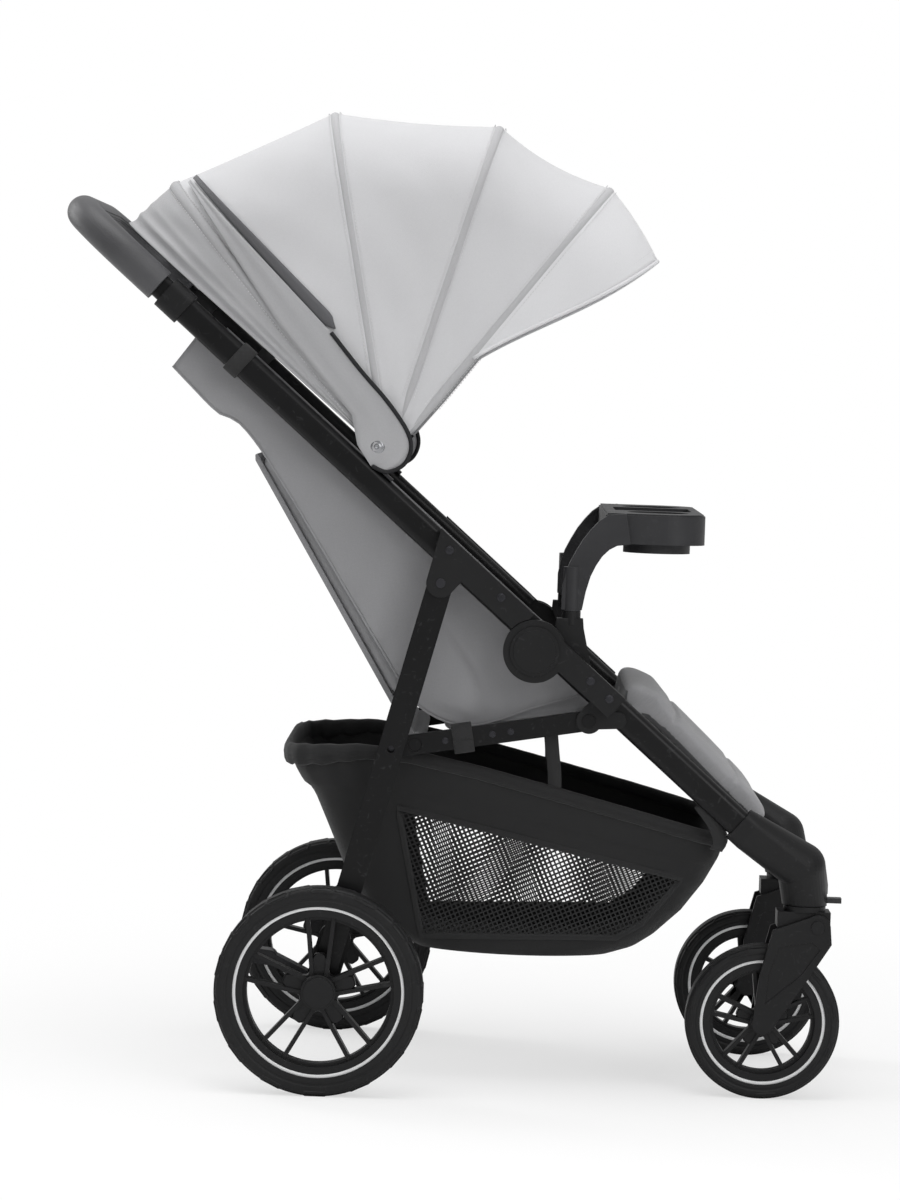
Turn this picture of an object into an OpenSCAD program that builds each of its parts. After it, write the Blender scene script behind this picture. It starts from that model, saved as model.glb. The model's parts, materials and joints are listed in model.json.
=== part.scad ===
// Four-wheel folding pushchair. +X is forward, +Z is up, and the origin is
// the centre of the bounding box at ground level.

/* [Wheels] */
// distance from the rear axle to the front axle
wheelbase = 525; // [470:5:580]
// distance between the middles of the rear tyres
rear_track = 530; // [510:5:600]
// distance between the middles of the front tyres
front_track = 338; // [300:2:360]
// outer diameter of a rear tyre
rear_d = 245; // [205:1:280]
// outer diameter of a front tyre
front_d = 183; // [155:1:195]
// width of a tyre
tyre_w = 38; // [30:1:42]
// height of the tyre section
tyre_h = 25; // [18:1:28]
// distance a front wheel trails behind its swivel
trail = 46; // [36:1:56]

/* [Frame] */
// slope of the long frame tubes
slope = 41; // [38:0.5:44]
// distance of the fold hub ahead of the rear axle
hub_x = 239; // [220:1:260]
// height of the fold hub
hub_z = 527; // [500:1:560]
// distance between the middles of the left and right tubes
tube_span = 424; // [400:2:440]
// depth of the oval tube
tube_d = 33; // [28:0.5:36]
// width of the oval tube
tube_w = 18; // [16:0.5:20]
// wall of the upper tube
tube_t = 1.8; // [1.2:0.1:2.5]
// distance from the fold hub to the top of the upper tube
upper_len = 590; // [540:5:620]
// distance from the fold hub to the end of the front tube
front_len = 330; // [310:1:345]
// distance from the fold hub to the middle of the handlebar
handle_len = 745; // [710:5:780]
// travel of the telescopic handlebar
handle_travel = 70; // [40:5:100]
// diameter of the handlebar tube
bar_d = 22; // [18:1:25]
// diameter of the padded grip
grip_d = 40; // [30:1:42]
// bend radius of the handlebar
bar_bend = 85; // [60:5:110]

/* [Rear legs and seat links] */
// width of a rear leg seen from the side
leg_d = 31; // [26:1:34]
// thickness of a rear leg
leg_w = 16; // [12:1:18]
// distance from the leg pivot down to the seat link
link_drop = 204; // [190:1:215]
// depth of a seat link bar
link_d = 24; // [20:1:28]
// diameter of the rear axle tube
axle_d = 18; // [16:1:20]
// diameter of the seat cross tubes
cross_d = 16; // [14:1:18]

/* [Seat] */
// width of the seat and backrest cushions
seat_w = 372; // [340:2:384]
// thickness of the seat cushion
seat_t = 40; // [30:1:45]
// length of the backrest board
back_len = 390; // [350:2:396]
// thickness of the backrest cushion
back_t = 24; // [16:1:26]
// angle of the backrest at rest, from the ground behind it
back_angle = 59; // [56:1:62]

/* [Canopy] */
// radius of the hood over its pivot
hood_r = 412; // [380:2:430]
// rounding of the hood's shoulders
hood_corner = 95; // [60:5:140]
// height of the hood pivot above the tube line
hood_lift = 34; // [32:1:44]
// distance of the hood pivot from the fold hub along the tube
hood_s = 280; // [260:2:300]

/* [Tray] */
// length of the tray from back to front
tray_len = 119; // [110:1:130]
// height of the tray's rim above the ground
tray_z = 691; // [680:1:710]
// height of the tray's side
tray_h = 36; // [30:1:42]
// inner diameter of a cup pocket
cup_d = 74; // [66:1:80]

/* [Hidden] */
$fn = 64;
fit = 0.08;                  // running clearance on a radius
gap = 0.3;                   // clearance of parts that only lie together

// side planes, measured from the middle of the pushchair
tube_y = tube_span / 2;
tube_in = tube_y - tube_w / 2;
tube_out = tube_y + tube_w / 2;
cover_in = tube_out + gap;
leg_in = tube_out + 3;
leg_out = leg_in + leg_w;
cover_out = leg_out + 4;
wing_y = tube_in - 2.5 - gap;
wing_t = 2.6;
rear_y = rear_track / 2;
front_y = front_track / 2;

// points in the side view, from the ground under the rear axle
pivot_off = 14;              // the fold hub lies this far under the tube line
line_x = hub_x + pivot_off * sin(slope);
line_z = hub_z + pivot_off * cos(slope);
function on_line(s, n) = [line_x - s * cos(slope) + n * sin(slope),
                          line_z + s * sin(slope) + n * cos(slope)];
function unit(v) = v / norm(v);
hub = [hub_x, hub_z];
axle = [0, rear_d / 2];
front_axle = [wheelbase, front_d / 2];
leg_s = 135;                 // leg pivot and front link pivot, along the frame line
link_s = -103.7;
leg_n = -30.2;
leg_top = on_line(leg_s, leg_n);
link_front = on_line(link_s, -31.2);
link_rear = leg_top + link_drop * unit(axle - leg_top);
link_dir = unit(link_front - link_rear);
link_len = norm(link_front - link_rear);
hinge_u = 28;                // backrest hinge, along the link bar
hinge = link_rear + hinge_u * link_dir;
swivel_x = wheelbase + trail;
bolt = [swivel_x + 15, front_d / 2 + 116.5];
head_low = front_d + 6.5;
head_top = head_low + 36;
knee_low = head_top + 7;
bend = [swivel_x - 7, knee_low + 47];
rest_hinge = on_line(-130, 3);
rest_pin_r = 4;
rest_rod_r = 7;
canopy_pivot = on_line(hood_s, hood_lift);

// centre of the length, from the front of the knee to the back of the grip
front_most = max(wheelbase + front_d / 2, swivel_x + 44);
rear_most = on_line(handle_len, 0)[0] - grip_d / 2;
mid_x = (front_most + rear_most) / 2;

module placed() { translate([-mid_x, 0, 0]) children(); }
module both() { children(); mirror([0, 1, 0]) children(); }
module left() { placed() children(); }
module right() { placed() mirror([0, 1, 0]) children(); }

// a side-view outline made solid between two side planes
module plate(y0, y1) { translate([0, y1, 0]) rotate([90, 0, 0]) linear_extrude(y1 - y0) children(); }

// a round pin or disc across the pushchair
module pin(p, r, y0, y1) { translate([p[0], y0, p[1]]) rotate([-90, 0, 0]) cylinder(r = r, h = y1 - y0); }

// an outline with two round ends, its straight sides a hair inside the rounds
module slot2d(a, b, w) {
    d = b - a;
    translate(a) rotate(atan2(d[1], d[0])) translate([0, -w / 2 + 0.02]) square([norm(d), w - 0.04]);
    for (p = [a, b]) translate(p) circle(d = w);
}

// the section of an oval tube, depth by width
module oval2d(d, w) {
    square([d - w, w], center = true);
    for (e = [-1, 1]) translate([e * (d - w) / 2, 0]) circle(d = w);
}

// an oval bar along the frame line between two distances from the hub
module frame_bar(s0, s1, d, w) {
    p = on_line(s1, 0);
    translate([p[0], tube_y, p[1]]) rotate([0, slope, 0]) rotate([0, 90, 0])
        linear_extrude(s1 - s0) oval2d(d, w);
}

// a rectangle in frame-line coordinates, as a side-view outline
module frame_rect(s0, s1, n0, n1) {
    polygon([on_line(s0, n0), on_line(s1, n0), on_line(s1, n1), on_line(s0, n1)]);
}

// a domed rivet with its shank, head outwards on a side plane
module rivet(p, y, r = 5) {
    pin(p, r * 0.55, y - 4, y + 0.5);
    pin(p, r, y + 0.05, y + 1);
    pin(p, r * 0.7, y + 0.5, y + 1.8);
}
module rivet_hole(p, y, r = 5) { pin(p, r * 0.55 + fit, y - 4.3, y + 1); }

// ---- front frame ----

cover_rivets = [on_line(-71.6, 5.3), on_line(-102, 5)];
upper_rivet_at = [on_line(153.7, 5.2), on_line(71.8, 5.9)];
hub_r = 37;
cover_low = -12.5;           // edges of the fold covers, across the tube
cover_high = 17.5;
hub_pin_r = 9;
cross_pin_r = 5;             // reduced ends of the front cross tube
lobe_r = 17;
leg_pin_r = 5;
axle_pin_r = 6;
link_pin_r = 4;

module front_tubes() {
    color("#222222") placed() both() difference() {
        frame_bar(-front_len, -24, tube_d, tube_w);
        pin(rest_hinge, rest_pin_r + fit, tube_in - 1, tube_in + 9);
    }
}

module front_covers() {
    color("#1c1c1d") placed() both() {
        difference() {
            union() {
                plate(leg_in + 9, cover_out) {
                    translate(hub) circle(r = hub_r);
                    frame_rect(-116, 8, cover_low, cover_high);
                }
                plate(cover_in, cover_out) difference() {
                    frame_rect(-116, -45, cover_low, cover_high);
                    translate(hub) circle(r = hub_r + 1);
                }
                plate(cover_in, cover_in + 2.6) {
                    slot2d(link_front, on_line(link_s, 0), 30);
                    slot2d(link_front, link_front + [34, 2], 20);
                }
                pin(hub, hub_pin_r, cover_in, cover_out);
            }
            for (p = cover_rivets) rivet_hole(p, cover_out);
            pin(link_front, cross_pin_r + 0.1, cover_in - 1, cover_in + 4);
        }
    }
}

// the cross tube that the seat links turn on
module front_cross_tube() {
    color("#262627") placed() {
        pin(link_front, cross_d / 2, -tube_out, tube_out);
        pin(link_front, cross_pin_r, -cover_in - 3, cover_in + 3);
        both() pin(link_front, 8, cover_in + 2.8, cover_in + 4.4);
    }
}

module hub_caps() {
    color("#161617") placed() both() {
        pin(hub, 29, cover_out + 0.1, cover_out + 2.6);
        pin(hub, 25, cover_out + 0.1, cover_out + 3.6);
    }
}

module knees() {
    color("#1d1d1e") placed() both() difference() {
        union() {
            hull() {
                frame_bar(-front_len - 4, -front_len + 14, tube_d + 11, tube_w + 8);
                translate([bend[0], front_y + 19, bend[1]]) sphere(r = 29, $fn = 40);
            }
            hull() {
                translate([bend[0], front_y + 19, bend[1]]) sphere(r = 29, $fn = 40);
                translate([swivel_x, front_y, knee_low]) cylinder(r = 27, h = 24, $fn = 40);
            }
        }
        frame_bar(-front_len - 1, -front_len + 40, tube_d + 0.4, tube_w + 0.4);
        translate([swivel_x, front_y, knee_low - 1]) cylinder(r = stem_r + fit, h = 34);
        pin(foot_at, foot_r + 0.2, 0, foot_half + 12);
        translate([swivel_x + 14, front_y - 8.3, knee_low - 1]) cube([30, 16.6, 15]);
    }
}

foot_at = [swivel_x - 16, knee_low + 38];
foot_half = 160;
foot_r = 8;

module foot_bar() {
    color("#8f9092") placed() pin(foot_at, foot_r, -foot_half - 8, foot_half + 8);
}

module footboard() {
    w = foot_half - 14;
    color("#1a1a1a") placed() translate([foot_at[0], -w, foot_at[1]]) rotate([0, 32, 0]) {
        translate([-46, 0, 8.4]) cube([66, 2 * w, 7]);
        for (k = [0 : 5]) translate([-43 + k * 11, 0, 15.3]) cube([5, 2 * w, 2.4]);
    }
}

module front_rivets() {
    color("#3a3a3c") placed() both() for (p = cover_rivets) rivet(p, cover_out);
}

socket_top = 574;
barrel_x = 281;
barrel_r = 11;
stud_r = 4;                  // stud that the tray's barrel drops over
stud_h = 38;
barrel_h = 52;

module tray_sockets() {
    color("#1b1b1c") placed() both() {
        plate(tube_in + 1, tube_out - 0.5)
            polygon([on_line(-12, tube_d / 2 + gap), on_line(-62, tube_d / 2 + gap),
                     [barrel_x + 15, socket_top - 19], [barrel_x + 14, socket_top - 8],
                     [barrel_x - 17, socket_top - 8], [barrel_x - 18, socket_top - 18]]);
        translate([barrel_x, tube_y - 2, socket_top - 16]) cylinder(r = barrel_r, h = 16);
        translate([barrel_x, tube_y - 2, socket_top - 1]) cylinder(r = stud_r, h = stud_h + 1);
    }
}

// ---- handle frame ----

module upper_tubes() {
    color("#1f1f20") placed() both() difference() {
        frame_bar(24, upper_len, tube_d, tube_w);
        frame_bar(20, upper_len + 1, tube_d - 2 * tube_t, tube_w - 2 * tube_t);
    }
}

cover_end = 178;             // rear end of the upper cover at its top edge
cover_heel = 160;            // and at its lower edge

// the cheek that reaches down from the upper cover to the leg's pivot
module leg_cheek() {
    translate(leg_top) circle(r = lobe_r);
    polygon([on_line(cover_end, cover_high - 0.1), on_line(leg_s + 0.89 * lobe_r, leg_n - 0.44 * lobe_r),
             on_line(leg_s, leg_n), on_line(leg_s - lobe_r + 0.1, leg_n),
             on_line(leg_s - lobe_r + 0.1, 0)]);
}

module upper_covers() {
    color("#1c1c1d") placed() both() difference() {
        union() {
            plate(cover_in, leg_in + 8.6) {
                translate(hub) circle(r = hub_r - 1);
                frame_rect(0, 60, cover_low, cover_high);
            }
            plate(cover_in, cover_out) difference() {
                polygon([on_line(30, cover_low), on_line(cover_heel, cover_low),
                         on_line(cover_end, cover_high), on_line(30, cover_high)]);
                translate(hub) circle(r = hub_r + 1);
            }
            plate(leg_out + 0.8, cover_out) leg_cheek();
            plate(cover_in, leg_in - 0.6) leg_cheek();
            pin(leg_top, leg_pin_r, cover_in, cover_out);
        }
        pin(hub, hub_pin_r + fit, cover_in - 1, cover_out + 1);
        for (p = upper_rivet_at) rivet_hole(p, cover_out);
    }
}

module collars() {
    color("#202021") placed() both() difference() {
        frame_bar(upper_len - 18, upper_len + 14, tube_d + 8, tube_w + 7);
        frame_bar(upper_len - 19, upper_len, tube_d + 0.5, tube_w + 0.5);
        frame_bar(upper_len - 1, upper_len + 15, tube_d - 2 * tube_t - 0.1, tube_w - 2 * tube_t - 0.1);
    }
}

module tube_straps() {
    color("#161616") placed() both() difference() {
        frame_bar(476, 494, tube_d + 5, tube_w + 5);
        frame_bar(475, 495, tube_d + 0.6, tube_w + 0.6);
    }
}

rib_t = 1.6;
rib_step = 2;
rib_pin_r = 4;
rib_y = tube_in + 2;         // side plane of the innermost hood rib

module canopy_mounts() {
    color("#232324") placed() both() {
        plate(tube_in - 2.5, rib_y - 0.4)
            slot2d(canopy_pivot, on_line(hood_s, tube_d / 2 + 14), 26);
        plate(tube_in - 2.5, tube_out - 2)
            frame_rect(hood_s - 22, hood_s + 22, tube_d / 2 + gap, tube_d / 2 + 3.5);
        pin(canopy_pivot, rib_pin_r, rib_y - 1, rib_y + 12);
        pin(canopy_pivot, 9, rib_y + 11, rib_y + 14);
    }
}

module upper_rivets() {
    color("#3a3a3c") placed() both() {
        for (p = upper_rivet_at) rivet(p, cover_out);
        pin(leg_top, 5.5, cover_out + 0.05, cover_out + 1.6);
    }
}

module side_wings() {
    color("#8d8e90") placed() both() plate(wing_y - wing_t, wing_y)
        polygon([on_line(545, 6), on_line(540, -62), on_line(470, -62), on_line(396, -61),
                 hinge + [-28, 84], hinge + [8, 44], hinge + [34, 30], hinge + [62, 26],
                 hinge + [150, 52], hinge + [205, 66], on_line(-66, 6)]);
}

// ---- telescopic handle ----

module handle_path(r) {
    grip_s = upper_len + 24;
    p = on_line(handle_len, 0);
    arm = handle_len - bar_bend - grip_s;
    translate([p[0], 0, p[1]]) rotate([0, slope, 0]) {
        for (e = [-1, 1]) {
            translate([bar_bend, e * tube_y, 0]) rotate([0, 90, 0]) cylinder(r = r, h = arm);
            translate([bar_bend, e * (tube_y - bar_bend), 0])
                rotate([0, 0, e > 0 ? 90 : 180]) rotate_extrude(angle = 90)
                    translate([bar_bend, 0]) circle(r = r);
        }
        translate([0, -(tube_y - bar_bend), 0]) rotate([-90, 0, 0])
            cylinder(r = r, h = 2 * (tube_y - bar_bend));
    }
}

module handle_tube() {
    color("#2a2a2b") placed() {
        handle_path(bar_d / 2);
        both() frame_bar(upper_len - handle_travel - 90, upper_len + 30,
            tube_d - 2 * tube_t - 0.6, tube_w - 2 * tube_t - 0.6);
    }
}

module handle_grip() {
    color("#3c3c3e") placed() difference() {
        handle_path(grip_d / 2);
        handle_path(bar_d / 2 + 0.1);
        both() frame_bar(upper_len + 10, upper_len + 31,
            tube_d - 2 * tube_t - 0.3, tube_w - 2 * tube_t - 0.3);
    }
}

// ---- rear frame ----

leg_dir = unit(axle - leg_top);

module rear_legs() {
    color("#1d1d1e") placed() both() plate(leg_in, leg_out) difference() {
        union() {
            slot2d(leg_top, axle, leg_d - 1);
            translate(leg_top) circle(r = leg_d / 2);
            translate(axle) circle(r = leg_d / 2 + 2);
        }
        translate(leg_top) circle(r = leg_pin_r + fit);
        translate(axle) circle(r = axle_pin_r + 0.1);
        translate(link_rear) circle(r = link_pin_r + 0.2);
    }
}

module rear_axle() {
    color("#4a4a4c") placed() {
        pin(axle, axle_d / 2, -leg_in + gap, leg_in - gap);
        pin(axle, axle_pin_r, -rear_y - 15, rear_y + 15);
    }
}

bracket_in = leg_in - 8;
pedal_w = 26;

module axle_brackets() {
    color("#232324") placed() both() difference() {
        plate(bracket_in, leg_in - 0.2) slot2d(axle, axle - 58 * leg_dir, 38);
        pin(axle, axle_d / 2 + 0.1, bracket_in - 1, leg_in + 1);
    }
}

// a foot lever that turns on the axle tube beside the right bracket
module brake_pedal() {
    y1 = bracket_in - gap;
    foot = axle + [-62, 30];
    color("#2b2b2c") placed() mirror([0, 1, 0]) difference() {
        plate(y1 - pedal_w, y1) {
            translate(axle) circle(r = axle_d / 2 + 6);
            slot2d(axle, foot, 14);
            slot2d(foot, foot + [-20, 2], 18);
        }
        pin(axle, axle_d / 2 + fit, y1 - pedal_w - 1, y1 + 1);
    }
}

// ---- wheels ----

// a tyre section with rounded shoulders, then a shallow groove at each side of the tread
module tyre(d, w, h) {
    r = 7;
    rotate([90, 0, 0]) rotate_extrude($fn = 128) difference() {
        union() {
            translate([d / 2 - h, -w / 2 + 5]) square([h, w - 10]);
            translate([d / 2 - h + 3, -w / 2]) square([h - r - 3, w]);
            for (e = [-1, 1]) translate([d / 2 - r, e * (w / 2 - r)]) circle(r = r);
            translate([d / 2 - h + 4, -w / 2 + 1.5]) square([h - 6, w - 3]);
        }
        for (e = [-1, 1]) translate([d / 2, e * w / 5]) circle(r = 1.6);
        for (e = [-1, 1]) translate([d / 2 + 1, e * (w / 2 - 1)]) circle(r = 4);
        for (e = [-1, 1]) translate([d / 2 - h / 2 - 1, e * (w / 2 + 2)]) circle(r = 2.8);
    }
}

spoke_w = 4.8;

// a moulded rim with five pairs of spokes, its hub towards the outside; cap is
// the thickness that closes the bore at the hub's outer end
module rim(r, w, hub_r, hub_w, bore_r, lead, cap) {
    difference() {
        union() {
            rotate([90, 0, 0]) rotate_extrude($fn = 128) {
                translate([r - 9, -w / 2]) square([9, w]);
                translate([r - 13, -w / 2 + 6]) square([5, w - 12]);
            }
            translate([0, lead - hub_w, 0]) rotate([-90, 0, 0]) cylinder(r = hub_r, h = hub_w);
            translate([0, lead - 1, 0]) rotate([-90, 0, 0]) cylinder(r = hub_r * 0.86, h = 3);
            for (k = [0 : 4], e = [-1, 1]) rotate([0, 72 * k - 90, 0])
                translate([hub_r * 0.5, -w / 2 + 7, e * hub_r * 0.36]) rotate([0, -e * 6, 0])
                    translate([0, 0, -spoke_w / 2]) cube([r - 8 - hub_r * 0.5, w - 12, spoke_w]);
        }
        translate([0, lead - hub_w - 1, 0]) rotate([-90, 0, 0]) cylinder(r = bore_r, h = hub_w + 3 - cap);
    }
}

module rear_tyre() { translate([axle[0], rear_y, axle[1]]) tyre(rear_d, tyre_w, tyre_h); }
module rear_rim() {
    translate([axle[0], rear_y, axle[1]])
        rim(rear_d / 2 - tyre_h - 0.1, tyre_w - 8, 20.5, 38, axle_pin_r + fit, 20, 6);
}
module rear_tyre_left() { color("#1a1a1a") left() rear_tyre(); }
module rear_tyre_right() { color("#1a1a1a") right() rear_tyre(); }
module rear_rim_left() { color("#252526") left() rear_rim(); }
module rear_rim_right() { color("#252526") right() rear_rim(); }

front_tyre_w = tyre_w - 2;
front_tyre_h = tyre_h - 5;
arm_in = front_tyre_w / 2 + 3.5;
arm_out = arm_in + 6;
bolt_r = 5;                  // bolt and axle of a caster
stem_r = 8;

module front_tyre() {
    translate([front_axle[0], front_y, front_axle[1]]) tyre(front_d, front_tyre_w, front_tyre_h);
}
module front_rim() {
    translate([front_axle[0], front_y, front_axle[1]])
        rim(front_d / 2 - front_tyre_h - 0.1, front_tyre_w - 8, 15, 2 * arm_in - 5, bolt_r + fit,
            arm_in - 3.2, -1);
}
module front_tyre_left() { color("#1a1a1a") left() front_tyre(); }
module front_tyre_right() { color("#1a1a1a") right() front_tyre(); }
module front_rim_left() { color("#252526") left() front_rim(); }
module front_rim_right() { color("#252526") right() front_rim(); }

// ---- front casters ----

module swivel() {
    difference() {
        union() {
            translate([swivel_x, front_y, head_top + 1]) cylinder(r = stem_r, h = 36);
            translate([swivel_x, front_y, head_top - 1]) cylinder(r = 25, h = 7);
            plate(front_y - arm_in + 0.5, front_y + arm_in - 0.5)
                polygon([[swivel_x - 33, head_top], [swivel_x - 33, head_low + 17], [swivel_x - 12, head_low],
                         [swivel_x + 24, head_low], [swivel_x + 30, head_low + 8],
                         [swivel_x + 30, head_top]]);
        }
        pin(bolt, bolt_r + fit, front_y - arm_out, front_y + arm_out);
    }
}

module fork() {
    difference() {
        for (e = [-1, 1]) translate([0, front_y + e * (arm_in + arm_out) / 2, 0]) plate(-3, 3) {
            translate(front_axle) circle(r = 13);
            translate(bolt) circle(r = 15);
            polygon([front_axle + [-12, 5], front_axle + [-6, 58], front_axle + [8, 112],
                     bolt + [-9, 12], bolt + [15, 2], bolt + [17, -20], front_axle + [55, 60],
                     front_axle + [12, -5]]);
        }
        for (e = [-1, 1]) translate([0, front_y + e * (arm_out + 0.01), 0]) plate(-1.5, 1.5)
            polygon([front_axle + [2, 24], front_axle + [5, 60], front_axle + [16, 92],
                     bolt + [-6, -18], bolt + [4, -26], front_axle + [42, 58]]);
    }
    pin(bolt, bolt_r, front_y - arm_out, front_y + arm_out);
    pin(bolt, 8, front_y + arm_out - 0.5, front_y + arm_out + 2);
    pin(bolt, 8, front_y - arm_out - 2, front_y - arm_out + 0.5);
    pin(front_axle, bolt_r, front_y - arm_out, front_y + arm_out);
}

lever_at = [swivel_x + 22, knee_low + 6];

module lock_lever() {
    plate(front_y - 8, front_y + 8) difference() {
        union() {
            translate(lever_at) circle(r = 5);
            translate(lever_at + [0, -3]) square([21, 6]);
        }
        translate(lever_at) circle(r = 2);
    }
}

module swivel_left() { color("#202021") left() swivel(); }
module swivel_right() { color("#202021") right() swivel(); }
module fork_left() { color("#1e1e1f") left() fork(); }
module fork_right() { color("#1e1e1f") right() fork(); }
module lock_lever_left() { color("#2e2e30") left() lock_lever(); }
module lock_lever_right() { color("#2e2e30") right() lock_lever(); }

// ---- seat ----

function on_link(u, v) = link_rear + u * link_dir + v * [-link_dir[1], link_dir[0]];

module link_bars() {
    color("#1b1b1c") placed() both() difference() {
        plate(tube_in + 3, tube_out - 3) slot2d(link_rear, link_front, link_d);
        pin(link_front, cross_d / 2 + fit, tube_in, tube_out);
        pin(hinge, cross_d / 2 + fit, tube_in, tube_out);
        for (u = link_rivet_u) rivet_hole(on_link(u, 0), tube_out - 3, 4);
    }
}

link_rivet_u = [64, 120, 142];

module link_rivets() {
    color("#3a3a3c") placed() both() {
        for (u = link_rivet_u) rivet(on_link(u, 0), tube_out - 3, 4);
        pin(link_rear, link_pin_r, tube_out - 2.9, leg_in - 0.5);
    }
}

module seat_tube() {
    color("#262627") placed() pin(on_link(link_len * 0.55, 0), cross_d / 2, -tube_in - 2.6, tube_in + 2.6);
}

module seat_pad() {
    color("#8d8e90") placed() plate(-seat_w / 2, seat_w / 2)
        polygon([on_link(hinge_u + 34, cross_d / 2 + gap), on_link(link_len + 2, cross_d / 2 + gap),
                 on_link(link_len + 9, cross_d / 2 + 10), on_link(link_len + 8, seat_t + 2),
                 on_link(link_len - 4, seat_t + 10), on_link(hinge_u + 50, seat_t + 8),
                 on_link(hinge_u + 36, seat_t)]);
}

strap_u = 170;

module crotch_strap() {
    color("#202022") placed() plate(-20, 20)
        polygon([on_link(strap_u, seat_t + 9.4), on_link(strap_u + 3, seat_t + 9.4),
                 on_link(strap_u - 20, seat_t + 70), on_link(strap_u - 23, seat_t + 70)]);
}

module buckle() {
    color("#1c1c1d") placed() plate(-30, 30)
        polygon([on_link(strap_u - 15, seat_t + 70.4), on_link(strap_u - 29, seat_t + 70.4),
                 on_link(strap_u - 42, seat_t + 112), on_link(strap_u - 38, seat_t + 116),
                 on_link(strap_u - 30, seat_t + 116)]);
}

back_dir = [-cos(back_angle), sin(back_angle)];
back_nrm = [sin(back_angle), cos(back_angle)];
function on_back(u, v) = hinge + u * back_dir + v * back_nrm;

module hinge_tube() {
    color("#262627") placed() pin(hinge, cross_d / 2, -tube_out + 4, tube_out - 4);
}

module backrest_board() {
    w = seat_w / 2 - 6;
    color("#57585a") placed() difference() {
        union() {
            plate(-w, w) polygon([on_back(0, -3), on_back(back_len - 6, -3), on_back(back_len, 0),
                                  on_back(back_len, 3), on_back(0, 3)]);
            pin(hinge, cross_d / 2 + 3, -w, w);
        }
        pin(hinge, cross_d / 2 + fit, -w - 1, w + 1);
    }
}

module backrest_pad() {
    color("#8d8e90") placed() plate(-seat_w / 2, seat_w / 2)
        polygon([on_back(56, 3 + gap), on_back(back_len - 4, 3 + gap), on_back(back_len - 2, back_t - 6),
                 on_back(back_len - 14, back_t + 2), on_back(70, back_t + 3), on_back(56, back_t - 6)]);
}

module shoulder_straps() {
    color("#202022") placed() both() plate(42, 66)
        polygon([on_back(110, back_t + 3.4), on_back(300, back_t + 3.4),
                 on_back(300, back_t + 6), on_back(110, back_t + 6)]);
}

module leg_rest_rod() {
    color("#262627") placed() {
        pin(rest_hinge, rest_pin_r, -tube_in - 6, tube_in + 6);
        pin(rest_hinge, rest_rod_r, -tube_in + 1, tube_in - 1);
    }
}

module leg_rest_pad() {
    w = seat_w / 2 - 16;
    t = 20;
    knee_pt = rest_hinge + [60, -5];
    toe = [foot_at[0] - 30, foot_at[1] + 60];
    d = unit(toe - knee_pt);
    nrm = [-d[1], d[0]];
    color("#86878a") placed() plate(-w, w) difference() {
        polygon([rest_hinge + [-7, 3], rest_hinge + [-4, 26], rest_hinge + [3, 33], rest_hinge + [14, 32],
                 rest_hinge + [38, 21], knee_pt, toe + 0.55 * (knee_pt - toe) + 3 * nrm,
                 toe + 0.2 * (knee_pt - toe) + 4 * nrm, toe, toe + [-6, -5], toe - t * nrm + [0, 6],
                 knee_pt - t * nrm + [0, 2], rest_hinge + [22, 0], rest_hinge + [8, -6]]);
        translate(rest_hinge) circle(r = rest_rod_r + gap);
    }
}

// ---- canopy ----

rib_angle = [130.3, 101, 73.3, 52.2];
skirt_angle = 140;
visor_angle = 37.5;

// the hood's section: an arch on its side, from the pivot axis outwards
module arch2d(r, y, c) {
    translate([0, -y]) square([r - c, 2 * y]);
    translate([0, -y + c]) square([r, 2 * (y - c)]);
    for (e = [-1, 1]) translate([r - c, e * (y - c)]) circle(r = c, $fn = 96);
}

module rib(k) {
    inset = rib_step * (len(rib_angle) - k);
    r = hood_r - inset - gap;
    y = rib_y + rib_step * (k - 1);
    c = hood_corner - inset;
    color("#2a2a2b") placed() translate([canopy_pivot[0], 0, canopy_pivot[1]])
        rotate([0, -rib_angle[k - 1], 0]) difference() {
            union() {
                translate([0, 0, -3.5]) linear_extrude(7) difference() {
                    arch2d(r, y + rib_t, c);
                    arch2d(r - rib_t, y, c - rib_t);
                }
                for (e = [-1, 1]) translate([0, e * (y + rib_t / 2), 0]) rotate([90, 0, 0])
                    cylinder(r = 7, h = rib_t, center = true);
            }
            rotate([90, 0, 0]) cylinder(r = rib_pin_r + fit, h = 3 * tube_span, center = true);
            translate([-20, -tube_span, -4]) cube([13, 2 * tube_span, 8]);
        }
}
module canopy_rib_1() { rib(1); }
module canopy_rib_2() { rib(2); }
module canopy_rib_3() { rib(3); }
module canopy_rib_4() { rib(4); }

skin_y = rib_y + rib_step * 3 + rib_t + gap;
skin_t = 2;

// hood fabric between two angles about the pivot
module hood_skin(a0, a1) {
    translate([canopy_pivot[0], 0, canopy_pivot[1]]) rotate([90, 0, 0]) rotate([0, 0, a0])
        rotate_extrude(angle = a1 - a0) difference() {
            arch2d(hood_r + skin_t, skin_y + skin_t, hood_corner + skin_t);
            arch2d(hood_r, skin_y, hood_corner);
            translate([-1, -tube_span]) square([36, 2 * tube_span]);
        }
}
edge = 0.05;
module canopy_panel_1() { color("#a9aaac") placed() hood_skin(rib_angle[0] + edge, skirt_angle); }
module canopy_panel_2() { color("#a9aaac") placed() hood_skin(rib_angle[1] + edge, rib_angle[0] - edge); }
module canopy_panel_3() { color("#a9aaac") placed() hood_skin(rib_angle[2] + edge, rib_angle[1] - edge); }
module canopy_panel_4() {
    peak = canopy_pivot + [116, 123];
    tip = canopy_pivot + 1.05 * hood_r * [cos(visor_angle), sin(visor_angle)];
    color("#a9aaac") placed() difference() {
        hood_skin(visor_angle, rib_angle[2] - edge);
        plate(-tube_span, tube_span) polygon([peak, tip + [0, -4], tip + [60, -160], canopy_pivot + [0, -90],
            canopy_pivot + 10 * [cos(rib_angle[3]), sin(rib_angle[3])]]);
    }
}

// ---- tray ----

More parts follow.
